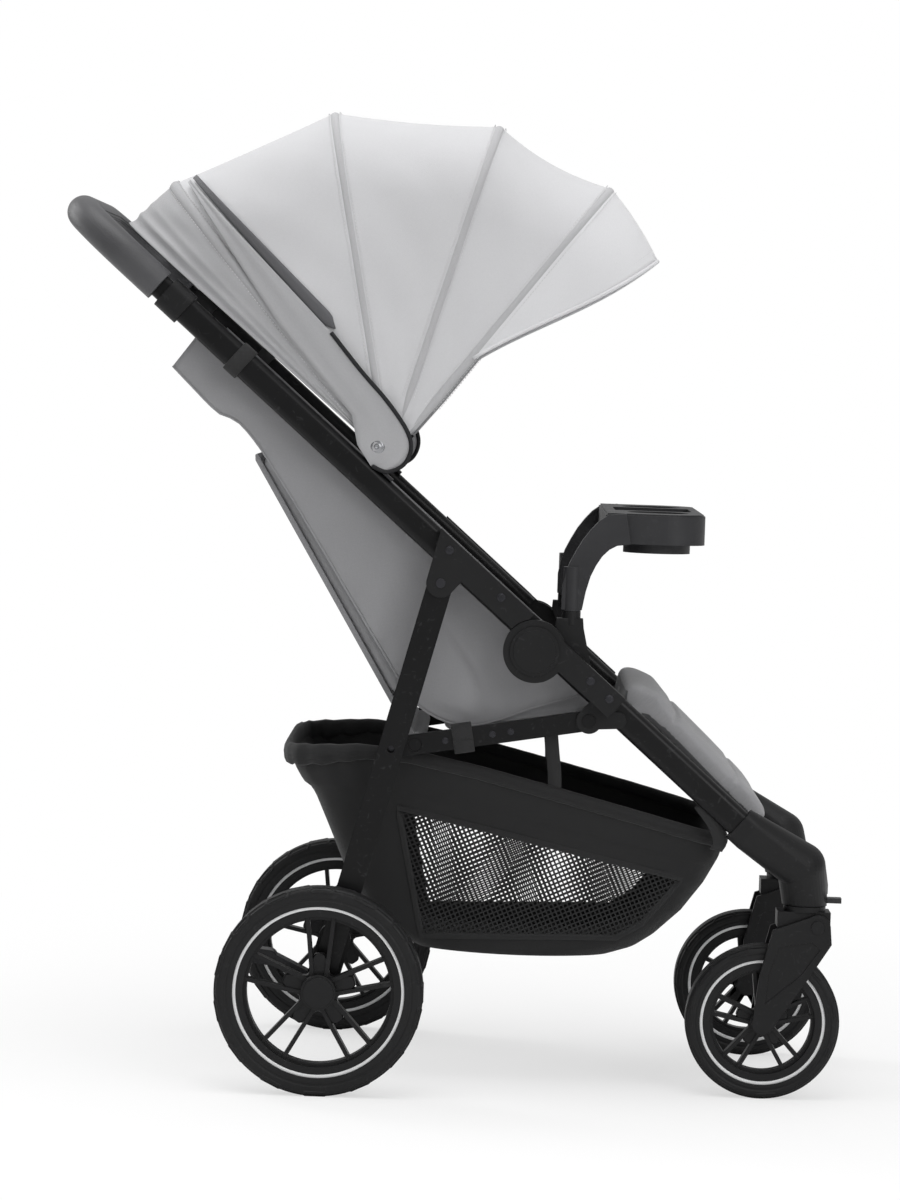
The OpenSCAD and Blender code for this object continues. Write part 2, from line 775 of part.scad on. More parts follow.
tray_x0 = 318;
tray_y = tube_y - 6;
cup_y = 122;
cup_x = tray_x0 + tray_len / 2 + 4;
cup_floor = tray_z - 45;

module tray_outline(inset) {
    c = 46 - inset;
    x0 = tray_x0 + inset;
    x1 = tray_x0 + tray_len - inset;
    y = tray_y - inset;
    translate([x0, -y]) square([x1 - x0 - c, 2 * y]);
    translate([x0, -y + c]) square([x1 - x0, 2 * (y - c)]);
    for (e = [-1, 1]) translate([x1 - c, e * (y - c)]) circle(r = c);
}

// side view of a tray arm, up its back edge and down its front edge
arm_outline = [for (p = [[-12, 2], [-12, 26], [-9, 42], [-4, 57], [3, 71], [11, 85], [20, 97], [29, 107],
                         [40, 115]])
                   [barrel_x + p[0], socket_top + p[1]],
               [tray_x0 + 24, tray_z], [tray_x0 + 30, tray_z - tray_h], [tray_x0 + 14, tray_z - tray_h - 2],
               for (p = [[42, 74], [34, 66], [27, 55], [21, 42], [16, 24], [12, 2]])
                   [barrel_x + p[0], socket_top + p[1]]];

module tray() {
    color("#2f2f31") placed() difference() {
        union() {
            translate([0, 0, tray_z - tray_h]) linear_extrude(tray_h - 2) tray_outline(0);
            translate([0, 0, tray_z - 3]) linear_extrude(3) tray_outline(2);
            for (e = [-1, 1]) translate([cup_x, e * cup_y, cup_floor - 3]) cylinder(d = cup_d + 6, h = 20);
            both() plate(tube_y - 16, tube_y + 6) polygon(arm_outline);
            both() translate([barrel_x, tube_y - 2, socket_top + 0.4]) cylinder(r = barrel_r, h = barrel_h);
        }
        for (e = [-1, 1]) translate([cup_x, e * cup_y, cup_floor]) cylinder(d = cup_d, h = 60);
        translate([tray_x0 + 14, -66, tray_z - 24]) cube([tray_len - 26, 132, 30]);
        both() translate([barrel_x, tube_y - 2, socket_top]) cylinder(r = stud_r + fit, h = stud_h + 0.6);
    }
}

// ---- basket ----

basket_y = tube_in - 5;
basket_t = 2.5;
rim_front = on_line(-front_len, 0) - [25, 23];    // front of the rim, behind the ends of the front tubes

module basket() {
    outer = [[-44, 403], [-15, 351], [24, 239], [60, 185], [116, 164], [355, 173], [400, 205],
             rim_front - [27, 39], rim_front, [87, 393]];
    inner = [[-41, 420], [-12, 351.5], [26.6, 240.5], [62, 187], [116.5, 166.6], [354, 175.6], [398, 207.2],
             rim_front - [29.2, 37.5], rim_front + [-3, 0.5], rim_front + [-3, 122]];
    color("#151515") placed() difference() {
        plate(-basket_y, basket_y) polygon(outer);
        plate(-basket_y + basket_t, basket_y - basket_t) polygon(inner);
    }
}

module basket_straps() {
    rear_at = axle - (norm(axle - link_rear) - 22) * leg_dir;
    front_at = rim_front + [-13, 10];
    color("#1a1a1a") placed() both() {
        plate(basket_y + gap, leg_in - gap) translate(rear_at + [0, -14]) square([4, 16]);
        plate(tube_in + 2, tube_out - 6) polygon([front_at + [-8, 4], front_at + [2, 4],
            on_line(-250, -tube_d / 2 - gap), on_line(-238, -tube_d / 2 - gap)]);
        plate(basket_y + gap, tube_in + 2.5) polygon([front_at + [-8, -14], front_at + [2, -14],
            front_at + [2, 8], front_at + [-8, 10]]);
    }
}

front_tubes();
front_covers();
hub_caps();
front_cross_tube();
knees();
foot_bar();
footboard();
front_rivets();
tray_sockets();
upper_tubes();
upper_covers();
collars();
tube_straps();
canopy_mounts();
upper_rivets();
side_wings();
handle_tube();
handle_grip();
rear_legs();
rear_axle();
axle_brackets();
brake_pedal();
rear_tyre_left();
rear_rim_left();
rear_tyre_right();
rear_rim_right();
link_bars();
seat_tube();
link_rivets();
seat_pad();
crotch_strap();
buckle();
hinge_tube();
backrest_board();
backrest_pad();
shoulder_straps();
canopy_rib_1();
canopy_rib_2();
canopy_rib_3();
canopy_rib_4();
canopy_panel_1();
canopy_panel_2();
canopy_panel_3();
canopy_panel_4();
tray();
leg_rest_rod();
leg_rest_pad();
basket();
basket_straps();
swivel_left();
swivel_right();
lock_lever_left();
lock_lever_right();
fork_left();
fork_right();
front_tyre_left();
front_tyre_right();
front_rim_left();
front_rim_right();
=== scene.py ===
import json
import math
import bmesh
import bpy
import numpy as np
from mathutils import Matrix, Vector


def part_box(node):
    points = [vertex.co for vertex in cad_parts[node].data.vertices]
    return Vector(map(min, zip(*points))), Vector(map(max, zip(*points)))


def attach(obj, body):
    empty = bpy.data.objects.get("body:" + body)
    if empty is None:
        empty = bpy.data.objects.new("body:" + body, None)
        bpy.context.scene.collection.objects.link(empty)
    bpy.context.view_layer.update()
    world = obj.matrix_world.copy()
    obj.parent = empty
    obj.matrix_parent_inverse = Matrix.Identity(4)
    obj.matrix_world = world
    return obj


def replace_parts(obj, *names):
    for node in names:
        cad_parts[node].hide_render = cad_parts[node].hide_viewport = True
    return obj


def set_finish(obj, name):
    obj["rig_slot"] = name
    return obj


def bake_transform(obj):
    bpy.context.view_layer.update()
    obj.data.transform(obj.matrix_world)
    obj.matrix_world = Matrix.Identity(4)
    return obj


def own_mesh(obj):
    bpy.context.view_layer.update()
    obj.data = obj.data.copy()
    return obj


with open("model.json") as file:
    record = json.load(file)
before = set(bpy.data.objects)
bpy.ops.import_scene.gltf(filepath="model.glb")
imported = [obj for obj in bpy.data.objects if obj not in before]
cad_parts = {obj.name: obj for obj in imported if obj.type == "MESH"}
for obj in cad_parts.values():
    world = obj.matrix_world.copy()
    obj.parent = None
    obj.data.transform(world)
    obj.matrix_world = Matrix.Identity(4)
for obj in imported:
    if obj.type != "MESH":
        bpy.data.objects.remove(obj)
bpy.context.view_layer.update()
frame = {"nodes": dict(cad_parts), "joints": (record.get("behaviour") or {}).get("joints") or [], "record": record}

# ---- Studio ----
# A white paper sweep under a large soft light, the camera low and far away at
# the pushchair's right side. None of this belongs to the pushchair.

def srgb(code):
    """A six-digit sRGB colour as linear RGBA."""
    parts = [int(code[i:i + 2], 16) / 255 for i in (0, 2, 4)]
    return [c / 12.92 if c <= 0.04045 else ((c + 0.055) / 1.055) ** 2.4 for c in parts] + [1.0]


def feed(node, links):
    """Gives a node's inputs, by name or place, a value or another node's output."""
    for name, value in links.items():
        socket = node.inputs[name]
        if isinstance(value, bpy.types.NodeSocket):
            node.id_data.links.new(value, socket)
        else:
            socket.default_value = value


def add(tree, kind, links=None, **settings):
    """A new node of a tree, with its inputs and its settings."""
    node = tree.nodes.new(kind)
    for name, value in settings.items():
        setattr(node, name, value)
    feed(node, links or {})
    return node


def maths(tree, operation, *values):
    return add(tree, "ShaderNodeMath", dict(enumerate(values)), operation=operation).outputs[0]


def ranged(tree, value, low, high, to_low, to_high, **settings):
    """A value moved from one range to another, and held inside it."""
    node = add(tree, "ShaderNodeMapRange", {
        "Value": value, "From Min": low, "From Max": high, "To Min": to_low, "To Max": to_high}, **settings)
    return node.outputs["Result"]


def cleared(owner):
    """The empty node tree of a world or a material."""
    owner.use_nodes = True
    owner.node_tree.nodes.clear()
    return owner.node_tree


def blended(tree, kind, factor, first, second):
    """Two shaders mixed by a factor, as the output of the tree."""
    mixed = add(tree, "ShaderNodeMixShader", {0: factor, 1: first.outputs[0], 2: second.outputs[0]})
    add(tree, kind, {"Surface": mixed.outputs[0]})


scene = bpy.context.scene
scene.view_settings.view_transform = "Standard"
camera = bpy.data.objects.new("camera", bpy.data.cameras.new("camera"))
scene.collection.objects.link(camera)
scene.camera = camera
camera.data.lens = 131.07
camera.data.sensor_width = 36
camera.data.clip_end = 60
pitch, yaw, roll = (math.radians(a) for a in (2.87, 0.65, 1.91))
ahead = Vector((-math.sin(yaw) * math.cos(pitch), math.cos(yaw) * math.cos(pitch), -math.sin(pitch)))
level = Vector((math.cos(yaw), math.sin(yaw), 0))
upward = level.cross(ahead)
across = math.cos(roll) * level + math.sin(roll) * upward
raised = math.cos(roll) * upward - math.sin(roll) * level
camera.matrix_world = Matrix.Translation((0.0548, -5.348, 0.840)) @ Matrix(
    (across, raised, -ahead)).transposed().to_4x4()

world = bpy.data.worlds.new("studio")
scene.world = world
tree = cleared(world)
rays = add(tree, "ShaderNodeLightPath").outputs
seen = maths(tree, "MAXIMUM", rays["Is Camera Ray"], rays["Is Transmission Ray"])
coords = add(tree, "ShaderNodeTexCoord").outputs
height = add(tree, "ShaderNodeSeparateXYZ", {"Vector": coords["Generated"]}).outputs["Z"]
dome = add(tree, "ShaderNodeBackground", {
    "Color": srgb("ffffff"), "Strength": ranged(tree, height, -0.2, 0.9, 0.30, 0.78)})
white = add(tree, "ShaderNodeBackground", {"Color": srgb("ffffff"), "Strength": 1.0})
blended(tree, "ShaderNodeOutputWorld", seen, dome, white)


def lamp(name, at, aim, size, power):
    light = bpy.data.lights.new(name, "AREA")
    light.shape = "RECTANGLE"
    light.size, light.size_y = size
    light.energy = power
    obj = bpy.data.objects.new(name, light)
    obj.location = at
    obj.rotation_euler = (Vector(aim) - Vector(at)).to_track_quat("-Z", "Y").to_euler()
    scene.collection.objects.link(obj)


lamp("overhead", (-0.3, -0.5, 3.2), (0, 0, 0.5), (2.6, 2.0), 42)
lamp("front_fill", (1.9, -3.2, 1.9), (0, 0, 0.5), (1.6, 2.0), 30)
lamp("back_edge", (-2.6, 1.6, 1.9), (0, 0, 0.6), (0.8, 2.2), 26)

bpy.ops.mesh.primitive_plane_add(size=30, location=(0, 0, 0))
floor = bpy.context.object
floor.name = "floor"
paper = bpy.data.materials.new("paper")
tree = cleared(paper)
coords = add(tree, "ShaderNodeTexCoord").outputs
away = add(tree, "ShaderNodeVectorMath", {0: coords["Object"]}, operation="LENGTH").outputs["Value"]
fade = ranged(tree, away, 0.75, 1.7, 0.60, 1.0, interpolation_type="SMOOTHSTEP")
seen = maths(tree, "MULTIPLY", add(tree, "ShaderNodeLightPath").outputs["Is Camera Ray"], fade)
matt = add(tree, "ShaderNodeBsdfDiffuse", {"Color": srgb("f4f4f4")})
glow = add(tree, "ShaderNodeEmission", {"Color": srgb("ffffff"), "Strength": 1.0})
blended(tree, "ShaderNodeOutputMaterial", seen, matt, glow)
floor.data.materials.append(paper)

# ---- Frame tubes ----
# Oval aluminium tube, powder coated satin black: the front tubes under the
# hubs, the upper tubes over them, and the legs and links that fold with them.

def principled(name):
    """A new material with its node tree and its shader."""
    material = bpy.data.materials.new(name)
    material.use_nodes = True
    return material, material.node_tree, material.node_tree.nodes["Principled BSDF"]


def noise(tree, place, scale, detail, distortion=0.0):
    return add(tree, "ShaderNodeTexNoise", {
        "Vector": place, "Scale": scale, "Detail": detail, "Distortion": distortion}).outputs["Fac"]


def bump(tree, height, distance, strength, under):
    """A relief of a height over another normal, or over None."""
    relief = add(tree, "ShaderNodeBump", {"Height": height, "Distance": distance, "Strength": strength})
    if under:
        feed(relief, {"Normal": under})
    return relief.outputs["Normal"]


def tinted(tree, colour, strength):
    node = add(tree, "ShaderNodeVectorMath", {0: srgb(colour)[:3], "Scale": strength}, operation="SCALE")
    return node.outputs["Vector"]


def grained(name, colour, rough, grain, depth, spread=0.06, metallic=0.0, worn=0.0, gloss=0.30):
    """A hard finish: colour and roughness that vary a little, a fine grain, edges that catch the light."""
    material, tree, shader = principled(name)
    place = add(tree, "ShaderNodeTexCoord").outputs["Object"]
    patches = noise(tree, place, 14.0, 5.0)
    rubbed = ranged(tree, noise(tree, place, 90.0, 3.0, 2.0), 0.62, 0.72, 0.0, worn)
    pale = add(tree, "ShaderNodeMix", {
        "Factor": rubbed, "A": tinted(tree, colour, ranged(tree, patches, 0.3, 0.7, 0.82, 1.2)),
        "B": srgb("6a6a6c")}, data_type="RGBA")
    cells = add(tree, "ShaderNodeTexVoronoi", {"Vector": place, "Scale": grain}, feature="SMOOTH_F1")
    round_edge = add(tree, "ShaderNodeBevel", {"Radius": 0.0009}, samples=4)
    feed(shader, {
        "Base Color": pale.outputs[2], "Metallic": metallic,
        "Roughness": ranged(tree, patches, 0.3, 0.7, rough - spread, rough + spread),
        "Normal": bump(tree, cells.outputs["Distance"], depth, 0.5, round_edge.outputs[0])})
    if not metallic:
        feed(shader, {"Specular IOR Level": gloss})
    return material


slot_of = {part["node"]: part["material_slot"] for part in frame["record"]["subparts"]}


def paint(material, slot):
    """Gives a finish to every CAD node whose record entry names that slot."""
    for node, obj in frame["nodes"].items():
        if slot_of[node] == slot:
            obj.data.materials.clear()
            obj.data.materials.append(material)


satin_black = grained("satin_black", "0b0b0c", 0.33, 1500.0, 0.00004, 0.05, worn=0.10, gloss=0.22)
paint(satin_black, "black_tube")
steel = grained("steel", "6b6c6e", 0.36, 900.0, 0.00003, 0.08, metallic=1.0)
paint(steel, "steel")
rivet_steel = grained("rivet_steel", "3c3c3f", 0.24, 1200.0, 0.00003, 0.07, metallic=1.0)
paint(rivet_steel, "rivet_steel")

# ---- Fold covers, hubs, collars and knees ----
# Injection-moulded glass-filled nylon with a fine spark-eroded grain, riveted
# over the tubes. The hub caps are smooth discs with a raised ring, left bare.

nylon = grained("nylon", "111112", 0.44, 1900.0, 0.00009, 0.05, worn=0.08, gloss=0.26)
paint(nylon, "black_plastic")
moulded = grained("moulded", "2b2b2d", 0.42, 2100.0, 0.0001, 0.05, worn=0.06)
paint(moulded, "dark_plastic")

# ---- Wheels ----
# Foamed rubber tyres with moulded hexagonal blocks on the shoulders, on nylon
# rims with five pairs of spokes. A pale reflective ring is bonded at the bead.

def lay_flat(mesh, flat):
    """Gives each corner of a mesh the texture place of its point."""
    corner = np.zeros(len(mesh.loops), int)
    mesh.loops.foreach_get("vertex_index", corner)
    layer = mesh.uv_layers.new(name="cut")
    layer.data.foreach_set("uv", np.asarray(flat, np.float32)[corner].ravel())


def outward(obj):
    """Turns every face of a closed mesh outwards."""
    work = bmesh.new()
    work.from_mesh(obj.data)
    bmesh.ops.recalc_face_normals(work, faces=work.faces)
    work.to_mesh(obj.data)
    work.free()
    return obj


def solid(name, points, faces, material, smooth=True, flat=None):
    """A closed object from points and faces; flat gives the texture place of each point."""
    mesh = bpy.data.meshes.new(name)
    mesh.from_pydata([tuple(p) for p in points], [], [tuple(f) for f in faces])
    mesh.validate()
    if flat is not None:
        lay_flat(mesh, flat)
    mesh.polygons.foreach_set("use_smooth", [smooth] * len(mesh.polygons))
    mesh.materials.append(material)
    obj = bpy.data.objects.new(name, mesh)
    scene.collection.objects.link(obj)
    return outward(obj)


def tube_faces(count, size, closed=False):
    """Faces from ring to ring of points, with a face over each end unless the last ring meets the first."""
    faces = [(k * size + i, k * size + (i + 1) % size,
              (k + 1) % count * size + (i + 1) % size, (k + 1) % count * size + i)
             for k in range(count if closed else count - 1) for i in range(size)]
    return faces if closed else faces + [tuple(range(size)), tuple(range((count - 1) * size, count * size))]


def whole_turn(steps):
    return np.linspace(0, 2 * math.pi, steps, endpoint=False)


def lathe(name, centre, section, material, steps=128):
    """A closed section of (radius, y) turned about the axis across the pushchair."""
    points = [(centre[0] + r * math.cos(a), centre[1] + y, centre[2] + r * math.sin(a))
              for a in whole_turn(steps) for r, y in section]
    return solid(name, points, tube_faces(steps, len(section), closed=True), material)


def middle(node):
    low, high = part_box(node)
    return Vector([(a + b) / 2 for a, b in zip(low, high)])


rubber = grained("rubber", "101011", 0.50, 1300.0, 0.00010, 0.07, worn=0.05, gloss=0.30)
paint(rubber, "tyre")
rim_nylon = grained("rim_nylon", "131314", 0.42, 1700.0, 0.00008, 0.05, worn=0.05, gloss=0.26)
paint(rim_nylon, "rim")

reflective, tree, shader = principled("reflective")
coords = add(tree, "ShaderNodeTexCoord").outputs["Object"]
beads = add(tree, "ShaderNodeTexVoronoi", {"Vector": coords, "Scale": 1400.0}).outputs["Distance"]
tone = add(tree, "ShaderNodeMix", {"Factor": beads, "A": srgb("ececec"), "B": srgb("c9cacb")}, data_type="RGBA")
feed(shader, {"Base Color": tone.outputs[2], "Roughness": 0.4, "Normal": bump(tree, beads, 0.00005, 1.0, None)})


def started(name, **inputs):
    """A new tree for a modifier and its inputs, each of the kind given."""
    tree = bpy.data.node_groups.new(name, "GeometryNodeTree")
    tree.is_modifier = True
    for title, kind in inputs.items():
        tree.interface.new_socket(name=title, in_out="INPUT", socket_type="NodeSocket" + kind)
    tree.interface.new_socket(name="Geometry", in_out="OUTPUT", socket_type="NodeSocketGeometry")
    return tree, add(tree, "NodeGroupInput").outputs


def ended(tree, geometry, finish):
    """Makes a tree's instances real and gives them their finish."""
    real = add(tree, "GeometryNodeRealizeInstances", {"Geometry": geometry})
    painted = add(tree, "GeometryNodeSetMaterial", {"Geometry": real.outputs[0], "Material": finish})
    add(tree, "NodeGroupOutput", {"Geometry": painted.outputs[0]})
    return tree


def tread_tree():
    """Blocks set in a ring round the tyre on both shoulders, the second ring half a block further round."""
    tree, given = started("tread", Block="Object", Count="Int", Radius="Float", Offset="Float", Tilt="Float",
                          Finish="Material")
    block = add(tree, "GeometryNodeObjectInfo", {"Object": given["Block"]})
    both = add(tree, "GeometryNodeJoinGeometry")
    for side, stagger in ((-1.0, 0.0), (1.0, 0.22)):
        ring = add(tree, "GeometryNodeMeshCircle", {"Vertices": given["Count"], "Radius": given["Radius"]})
        place = add(tree, "ShaderNodeSeparateXYZ", {
            "Vector": add(tree, "GeometryNodeInputPosition").outputs[0]}).outputs
        spin = add(tree, "ShaderNodeCombineXYZ", {
            "Y": maths(tree, "MULTIPLY", given["Tilt"], side),
            "Z": maths(tree, "ARCTAN2", place["Y"], place["X"])})
        turn = add(tree, "FunctionNodeEulerToRotation", {"Euler": spin.outputs[0]})
        every = add(tree, "GeometryNodeInstanceOnPoints", {
            "Points": ring.outputs["Mesh"], "Instance": block.outputs["Geometry"], "Rotation": turn.outputs[0]})
        shift = add(tree, "ShaderNodeCombineXYZ", {"Z": maths(tree, "MULTIPLY", given["Offset"], side)})
        moved = add(tree, "GeometryNodeTransform", {
            "Geometry": every.outputs[0], "Translation": shift.outputs[0], "Rotation": (0, 0, stagger)})
        tree.links.new(moved.outputs[0], both.inputs[0])
    return ended(tree, both.outputs[0], given["Finish"])


def grown(name, tree, values):
    """A plain mesh object grown by a node tree, with its named inputs set before it is first evaluated."""
    holder = bpy.data.objects.new(name + "_maker", bpy.data.meshes.new(name + "_maker"))
    scene.collection.objects.link(holder)
    modifier = holder.modifiers.new("grow", "NODES")
    modifier.node_group = tree
    for item in tree.interface.items_tree:
        if item.item_type == "SOCKET" and item.in_out == "INPUT" and item.name in values:
            modifier[item.identifier] = values[item.name]
    bpy.context.view_layer.update()
    evaluated = holder.evaluated_get(bpy.context.evaluated_depsgraph_get())
    mesh = bpy.data.meshes.new_from_object(evaluated)
    mesh.name = name
    obj = bpy.data.objects.new(name, mesh)
    scene.collection.objects.link(obj)
    bpy.data.objects.remove(holder)
    return obj


def hexagon_block(length, width, rise):
    """A long six-sided block with sloped sides, lying on the tyre with its face along +X."""
    outline = [(-0.5, -0.05), (-0.36, 0.5), (0.36, 0.5), (0.5, 0.05), (0.36, -0.5), (-0.36, -0.5)]
    levels = ((1.0, -0.0016), (1.0, rise * 0.45), (0.9, rise), (0.8, rise), (0.74, rise * 0.55))
    points = [(x, a * length * scale, b * width * scale) for scale, x in levels for a, b in outline]
    return solid("block", points, tube_faces(len(levels), len(outline)), rubber, smooth=False)


tread = tread_tree()
spoke_pairs = 5


def dress_wheel(side, where, bodies, blocks, sunk, hub_r):
    """Tread blocks, reflective rings and the hub's spider for one wheel; sunk is how far the blocks' foot lies
    inside the tyre's outer radius."""
    low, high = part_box(f"{where}_tyre_{side}")
    centre = middle(f"{where}_tyre_{side}")
    radius, half = (high[2] - low[2]) / 2, (high[1] - low[1]) / 2
    rim_low, rim_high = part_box(f"{where}_rim_{side}")
    bead = (rim_high[2] - rim_low[2]) / 2
    name = f"{where}_{side}"
    block = hexagon_block(2 * math.pi * radius / blocks * 0.62, 0.0086, 0.0016)
    lugs = grown(f"tread_{name}", tread, {
        "Block": block, "Count": blocks, "Radius": radius - sunk, "Offset": half - 0.0031,
        "Tilt": -math.radians(45), "Finish": rubber})
    bpy.data.objects.remove(block)
    lugs.data.transform(Matrix.Translation(centre) @ Matrix.Rotation(math.radians(90), 4, "X"))
    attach(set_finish(lugs, "tyre"), bodies)
    for e, face in ((1, "a"), (-1, "b")):
        y = e * (half - 0.0022)
        ring = lathe(f"reflector_{name}_{face}", centre, [(bead + r, y - e * inward) for r, inward in (
            (-0.0006, 0.006), (-0.0004, 0.0006), (0.0002, 0), (0.0042, 0), (0.0048, 0.0006), (0.0050, 0.003))],
            reflective)
        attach(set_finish(ring, "tyre"), bodies)
    near = -1 if side == "right" else 1
    outline = []
    for a in whole_turn(180):
        lobe = abs(math.cos(spoke_pairs / 2 * (a - math.pi / 2)))
        outline.append((a, hub_r * (1.10 + 0.95 * min(1.0, 1.12 * lobe ** 2.6))))
    levels = ((-0.007, 1.0), (0.0052, 1.0), (0.0068, 0.965), (0.0068, 0.4))
    points = [(centre[0] + r * s * math.cos(a), centre[1] + near * y, centre[2] + r * s * math.sin(a))
              for y, s in levels for a, r in outline]
    spider = solid(f"spider_{name}", points, tube_faces(len(levels), len(outline)), rim_nylon, smooth=False)
    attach(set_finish(spider, "rim"), bodies)


for side in ("left", "right"):
    dress_wheel(side, "rear", f"rear_wheel_{side}", 14, 0.0037, 0.0215)
    dress_wheel(side, "front", f"front_wheel_{side}", 11, 0.0045, 0.0155)

# ---- Seat cushion ----
# A foam pad in a woven melange polyester cover, sewn in three channels, held
# to the link bars by black elastic loops, with a crotch strap and a buckle.

def woven(name, colour, rough=0.86, thread=0.0015, spread=0.10, crease=0.0016, sheen=0.25, raised=0.00022,
          place="UV"):
    """A woven cloth, its place in metres: crossing threads, uneven yarn, soft creases."""
    material, tree, shader = principled(name)
    coords = add(tree, "ShaderNodeTexCoord").outputs
    cut = add(tree, "ShaderNodeSeparateXYZ", {"Vector": coords[place]}).outputs
    waves = [maths(tree, "SINE", maths(tree, "MULTIPLY", cut[axis], math.pi * 2 / thread))
             for axis in ("XY" if place == "UV" else "YZ")]
    cross = maths(tree, "MULTIPLY", *waves)
    yarns = []
    for grain in ((260, 2600, 1), (2600, 260, 1)):
        stretched = add(tree, "ShaderNodeVectorMath", {0: coords[place], 1: grain}, operation="MULTIPLY")
        yarns.append(noise(tree, stretched.outputs[0], 1.0, 2.0))
    yarn = add(tree, "ShaderNodeMix", {
        0: maths(tree, "GREATER_THAN", cross, 0.0), 2: yarns[0], 3: yarns[1]}, data_type="FLOAT")
    tone = ranged(tree, yarn.outputs[0], 0.25, 0.75, 1 - spread, 1 + spread)
    worn = ranged(tree, noise(tree, coords["Object"], 5.0, 3.0), 0.3, 0.7, 0.96, 1.04)
    folds = bump(tree, noise(tree, coords["Object"], 9.0, 2.0, 0.6), crease, 1.0, None)
    feed(shader, {
        "Base Color": tinted(tree, colour, maths(tree, "MULTIPLY", tone, worn)), "Roughness": rough,
        "Sheen Weight": sheen, "Sheen Roughness": 0.5, "Normal": bump(tree, cross, raised, 0.6, folds)})
    return material


seat_cloth = woven("seat_cloth", "8e8e90")
under_cloth = woven("under_cloth", "4b4b4d", thread=0.0018)
webbing = woven("webbing", "161617", rough=0.7, thread=0.0022, raised=0.0005, crease=0.0, sheen=0.08)
dark_cloth = woven("dark_cloth", "121213", rough=0.8, thread=0.0016, crease=0.0030, sheen=0.10)


def values_of(items, key, width=3):
    """A row of values for each point, corner or face of a mesh."""
    out = np.zeros(len(items) * width)
    items.foreach_get(key, out)
    return out.reshape(-1, width)


def stuffed(node, name, material, along, voxel=0.0055, most=0.009, pressure=4.0):
    """A cushion that starts as the CAD node's block: rounded, blown up as cloth round its filling, then
    smoothed. Its cover is cut across the pushchair and along a direction."""
    mesh = frame["nodes"][node].data.copy()
    mesh.name = name
    obj = bpy.data.objects.new(name, mesh)
    scene.collection.objects.link(obj)

    def settle(modifier):
        made = bpy.data.meshes.new_from_object(obj.evaluated_get(bpy.context.evaluated_depsgraph_get()))
        obj.modifiers.remove(modifier)
        obj.data = made
        made.name = name

    block = obj.modifiers.new("block", "REMESH")
    block.mode = "VOXEL"
    block.voxel_size = voxel
    settle(block)
    before = values_of(obj.data.vertices, "co")
    blown = obj.modifiers.new("blown", "CLOTH")
    cloth_settings = {
        "quality": 4, "mass": 0.3, "tension_stiffness": 12, "compression_stiffness": 12,
        "bending_stiffness": 0.6, "use_pressure": True, "uniform_pressure_force": pressure}
    for key, value in cloth_settings.items():
        setattr(blown.settings, key, value)
    blown.settings.effector_weights.gravity = 0.0
    blown.point_cache.frame_start, blown.point_cache.frame_end = 1, 20
    for step in range(1, 21):
        scene.frame_set(step)
    settle(blown)
    scene.frame_set(1)
    move = values_of(obj.data.vertices, "co") - before
    move -= move.mean(axis=0)
    size = np.linalg.norm(move, axis=1, keepdims=True)
    move *= np.minimum(1, most / np.maximum(size, 1e-9))
    obj.data.vertices.foreach_set("co", (before + move).ravel())
    relax = obj.modifiers.new("relax", "SMOOTH")
    relax.factor, relax.iterations = 0.5, 6
    settle(relax)
    finer = obj.modifiers.new("finer", "SUBSURF")
    finer.levels = finer.render_levels = 1
    settle(finer)
    place = values_of(obj.data.vertices, "co")
    lay_flat(obj.data, np.stack([place[:, 1], place @ np.array(along)], 1))
    obj.data.polygons.foreach_set("use_smooth", [True] * len(obj.data.polygons))
    obj.data.materials.clear()
    obj.data.materials.append(material)
    return obj


def quilt(obj, toward, along, marks, depth, width, across_marks=()):
    """Sewn channels: presses the face that looks toward a direction in along lines at the marks, in metres."""
    place = values_of(obj.data.vertices, "co")
    facing = np.clip(values_of(obj.data.vertex_normals, "vector") @ toward, 0, 1) ** 0.5
    press = np.zeros(len(place))
    for places, lines in ((place @ along, marks), (place[:, 1], across_marks)):
        for mark in lines:
            press = np.maximum(press, np.exp(-((places - mark) / width) ** 2))
    place -= (press * facing * depth)[:, None] * toward
    obj.data.vertices.foreach_set("co", place.ravel())
    obj.data.update()


def sweep(name, line, section, material, side=(0, 1, 0), closed=False, scale=1.0):
    """Carries a closed section (across, up) along a line; side is the direction that its width keeps."""
    line, section = np.asarray(line, float), np.asarray(section, float)
    n, m = len(line), len(section)
    ahead = np.roll(line, -1, 0) - np.roll(line, 1, 0) if closed else np.gradient(line, axis=0)
    ahead /= np.linalg.norm(ahead, axis=1, keepdims=True)
    wide = np.asarray(side, float) * np.ones((n, 3))
    wide = wide - (wide * ahead).sum(1, keepdims=True) * ahead
    wide /= np.linalg.norm(wide, axis=1, keepdims=True)
    high = np.cross(ahead, wide)
    points = line[:, None] + (scale * np.ones(n))[:, None, None] * (
        wide[:, None] * section[None, :, :1] + high[:, None] * section[None, :, 1:])
    flat = np.stack([np.tile(run_along(section), n), np.repeat(run_along(line), m)], 1)
    return solid(name, points.reshape(-1, 3), tube_faces(n, m, closed), material, flat=flat)


def run_along(points):
    """How far along a line each of its points lies."""
    return np.concatenate([[0], np.cumsum(np.linalg.norm(np.diff(points, axis=0), axis=1))])


def ribbon(wide, thick):
    """The section of a strap: flat, with softly rounded edges."""
    w, t = wide / 2, thick / 2
    return [(-w, -t * 0.4), (-w * 0.94, -t), (w * 0.94, -t), (w, -t * 0.4),
            (w, t * 0.4), (w * 0.94, t), (-w * 0.94, t), (-w, t * 0.4)]


def oval(wide, high, steps=10):
    return [(wide * math.cos(a), high * math.sin(a)) for a in whole_turn(steps)]


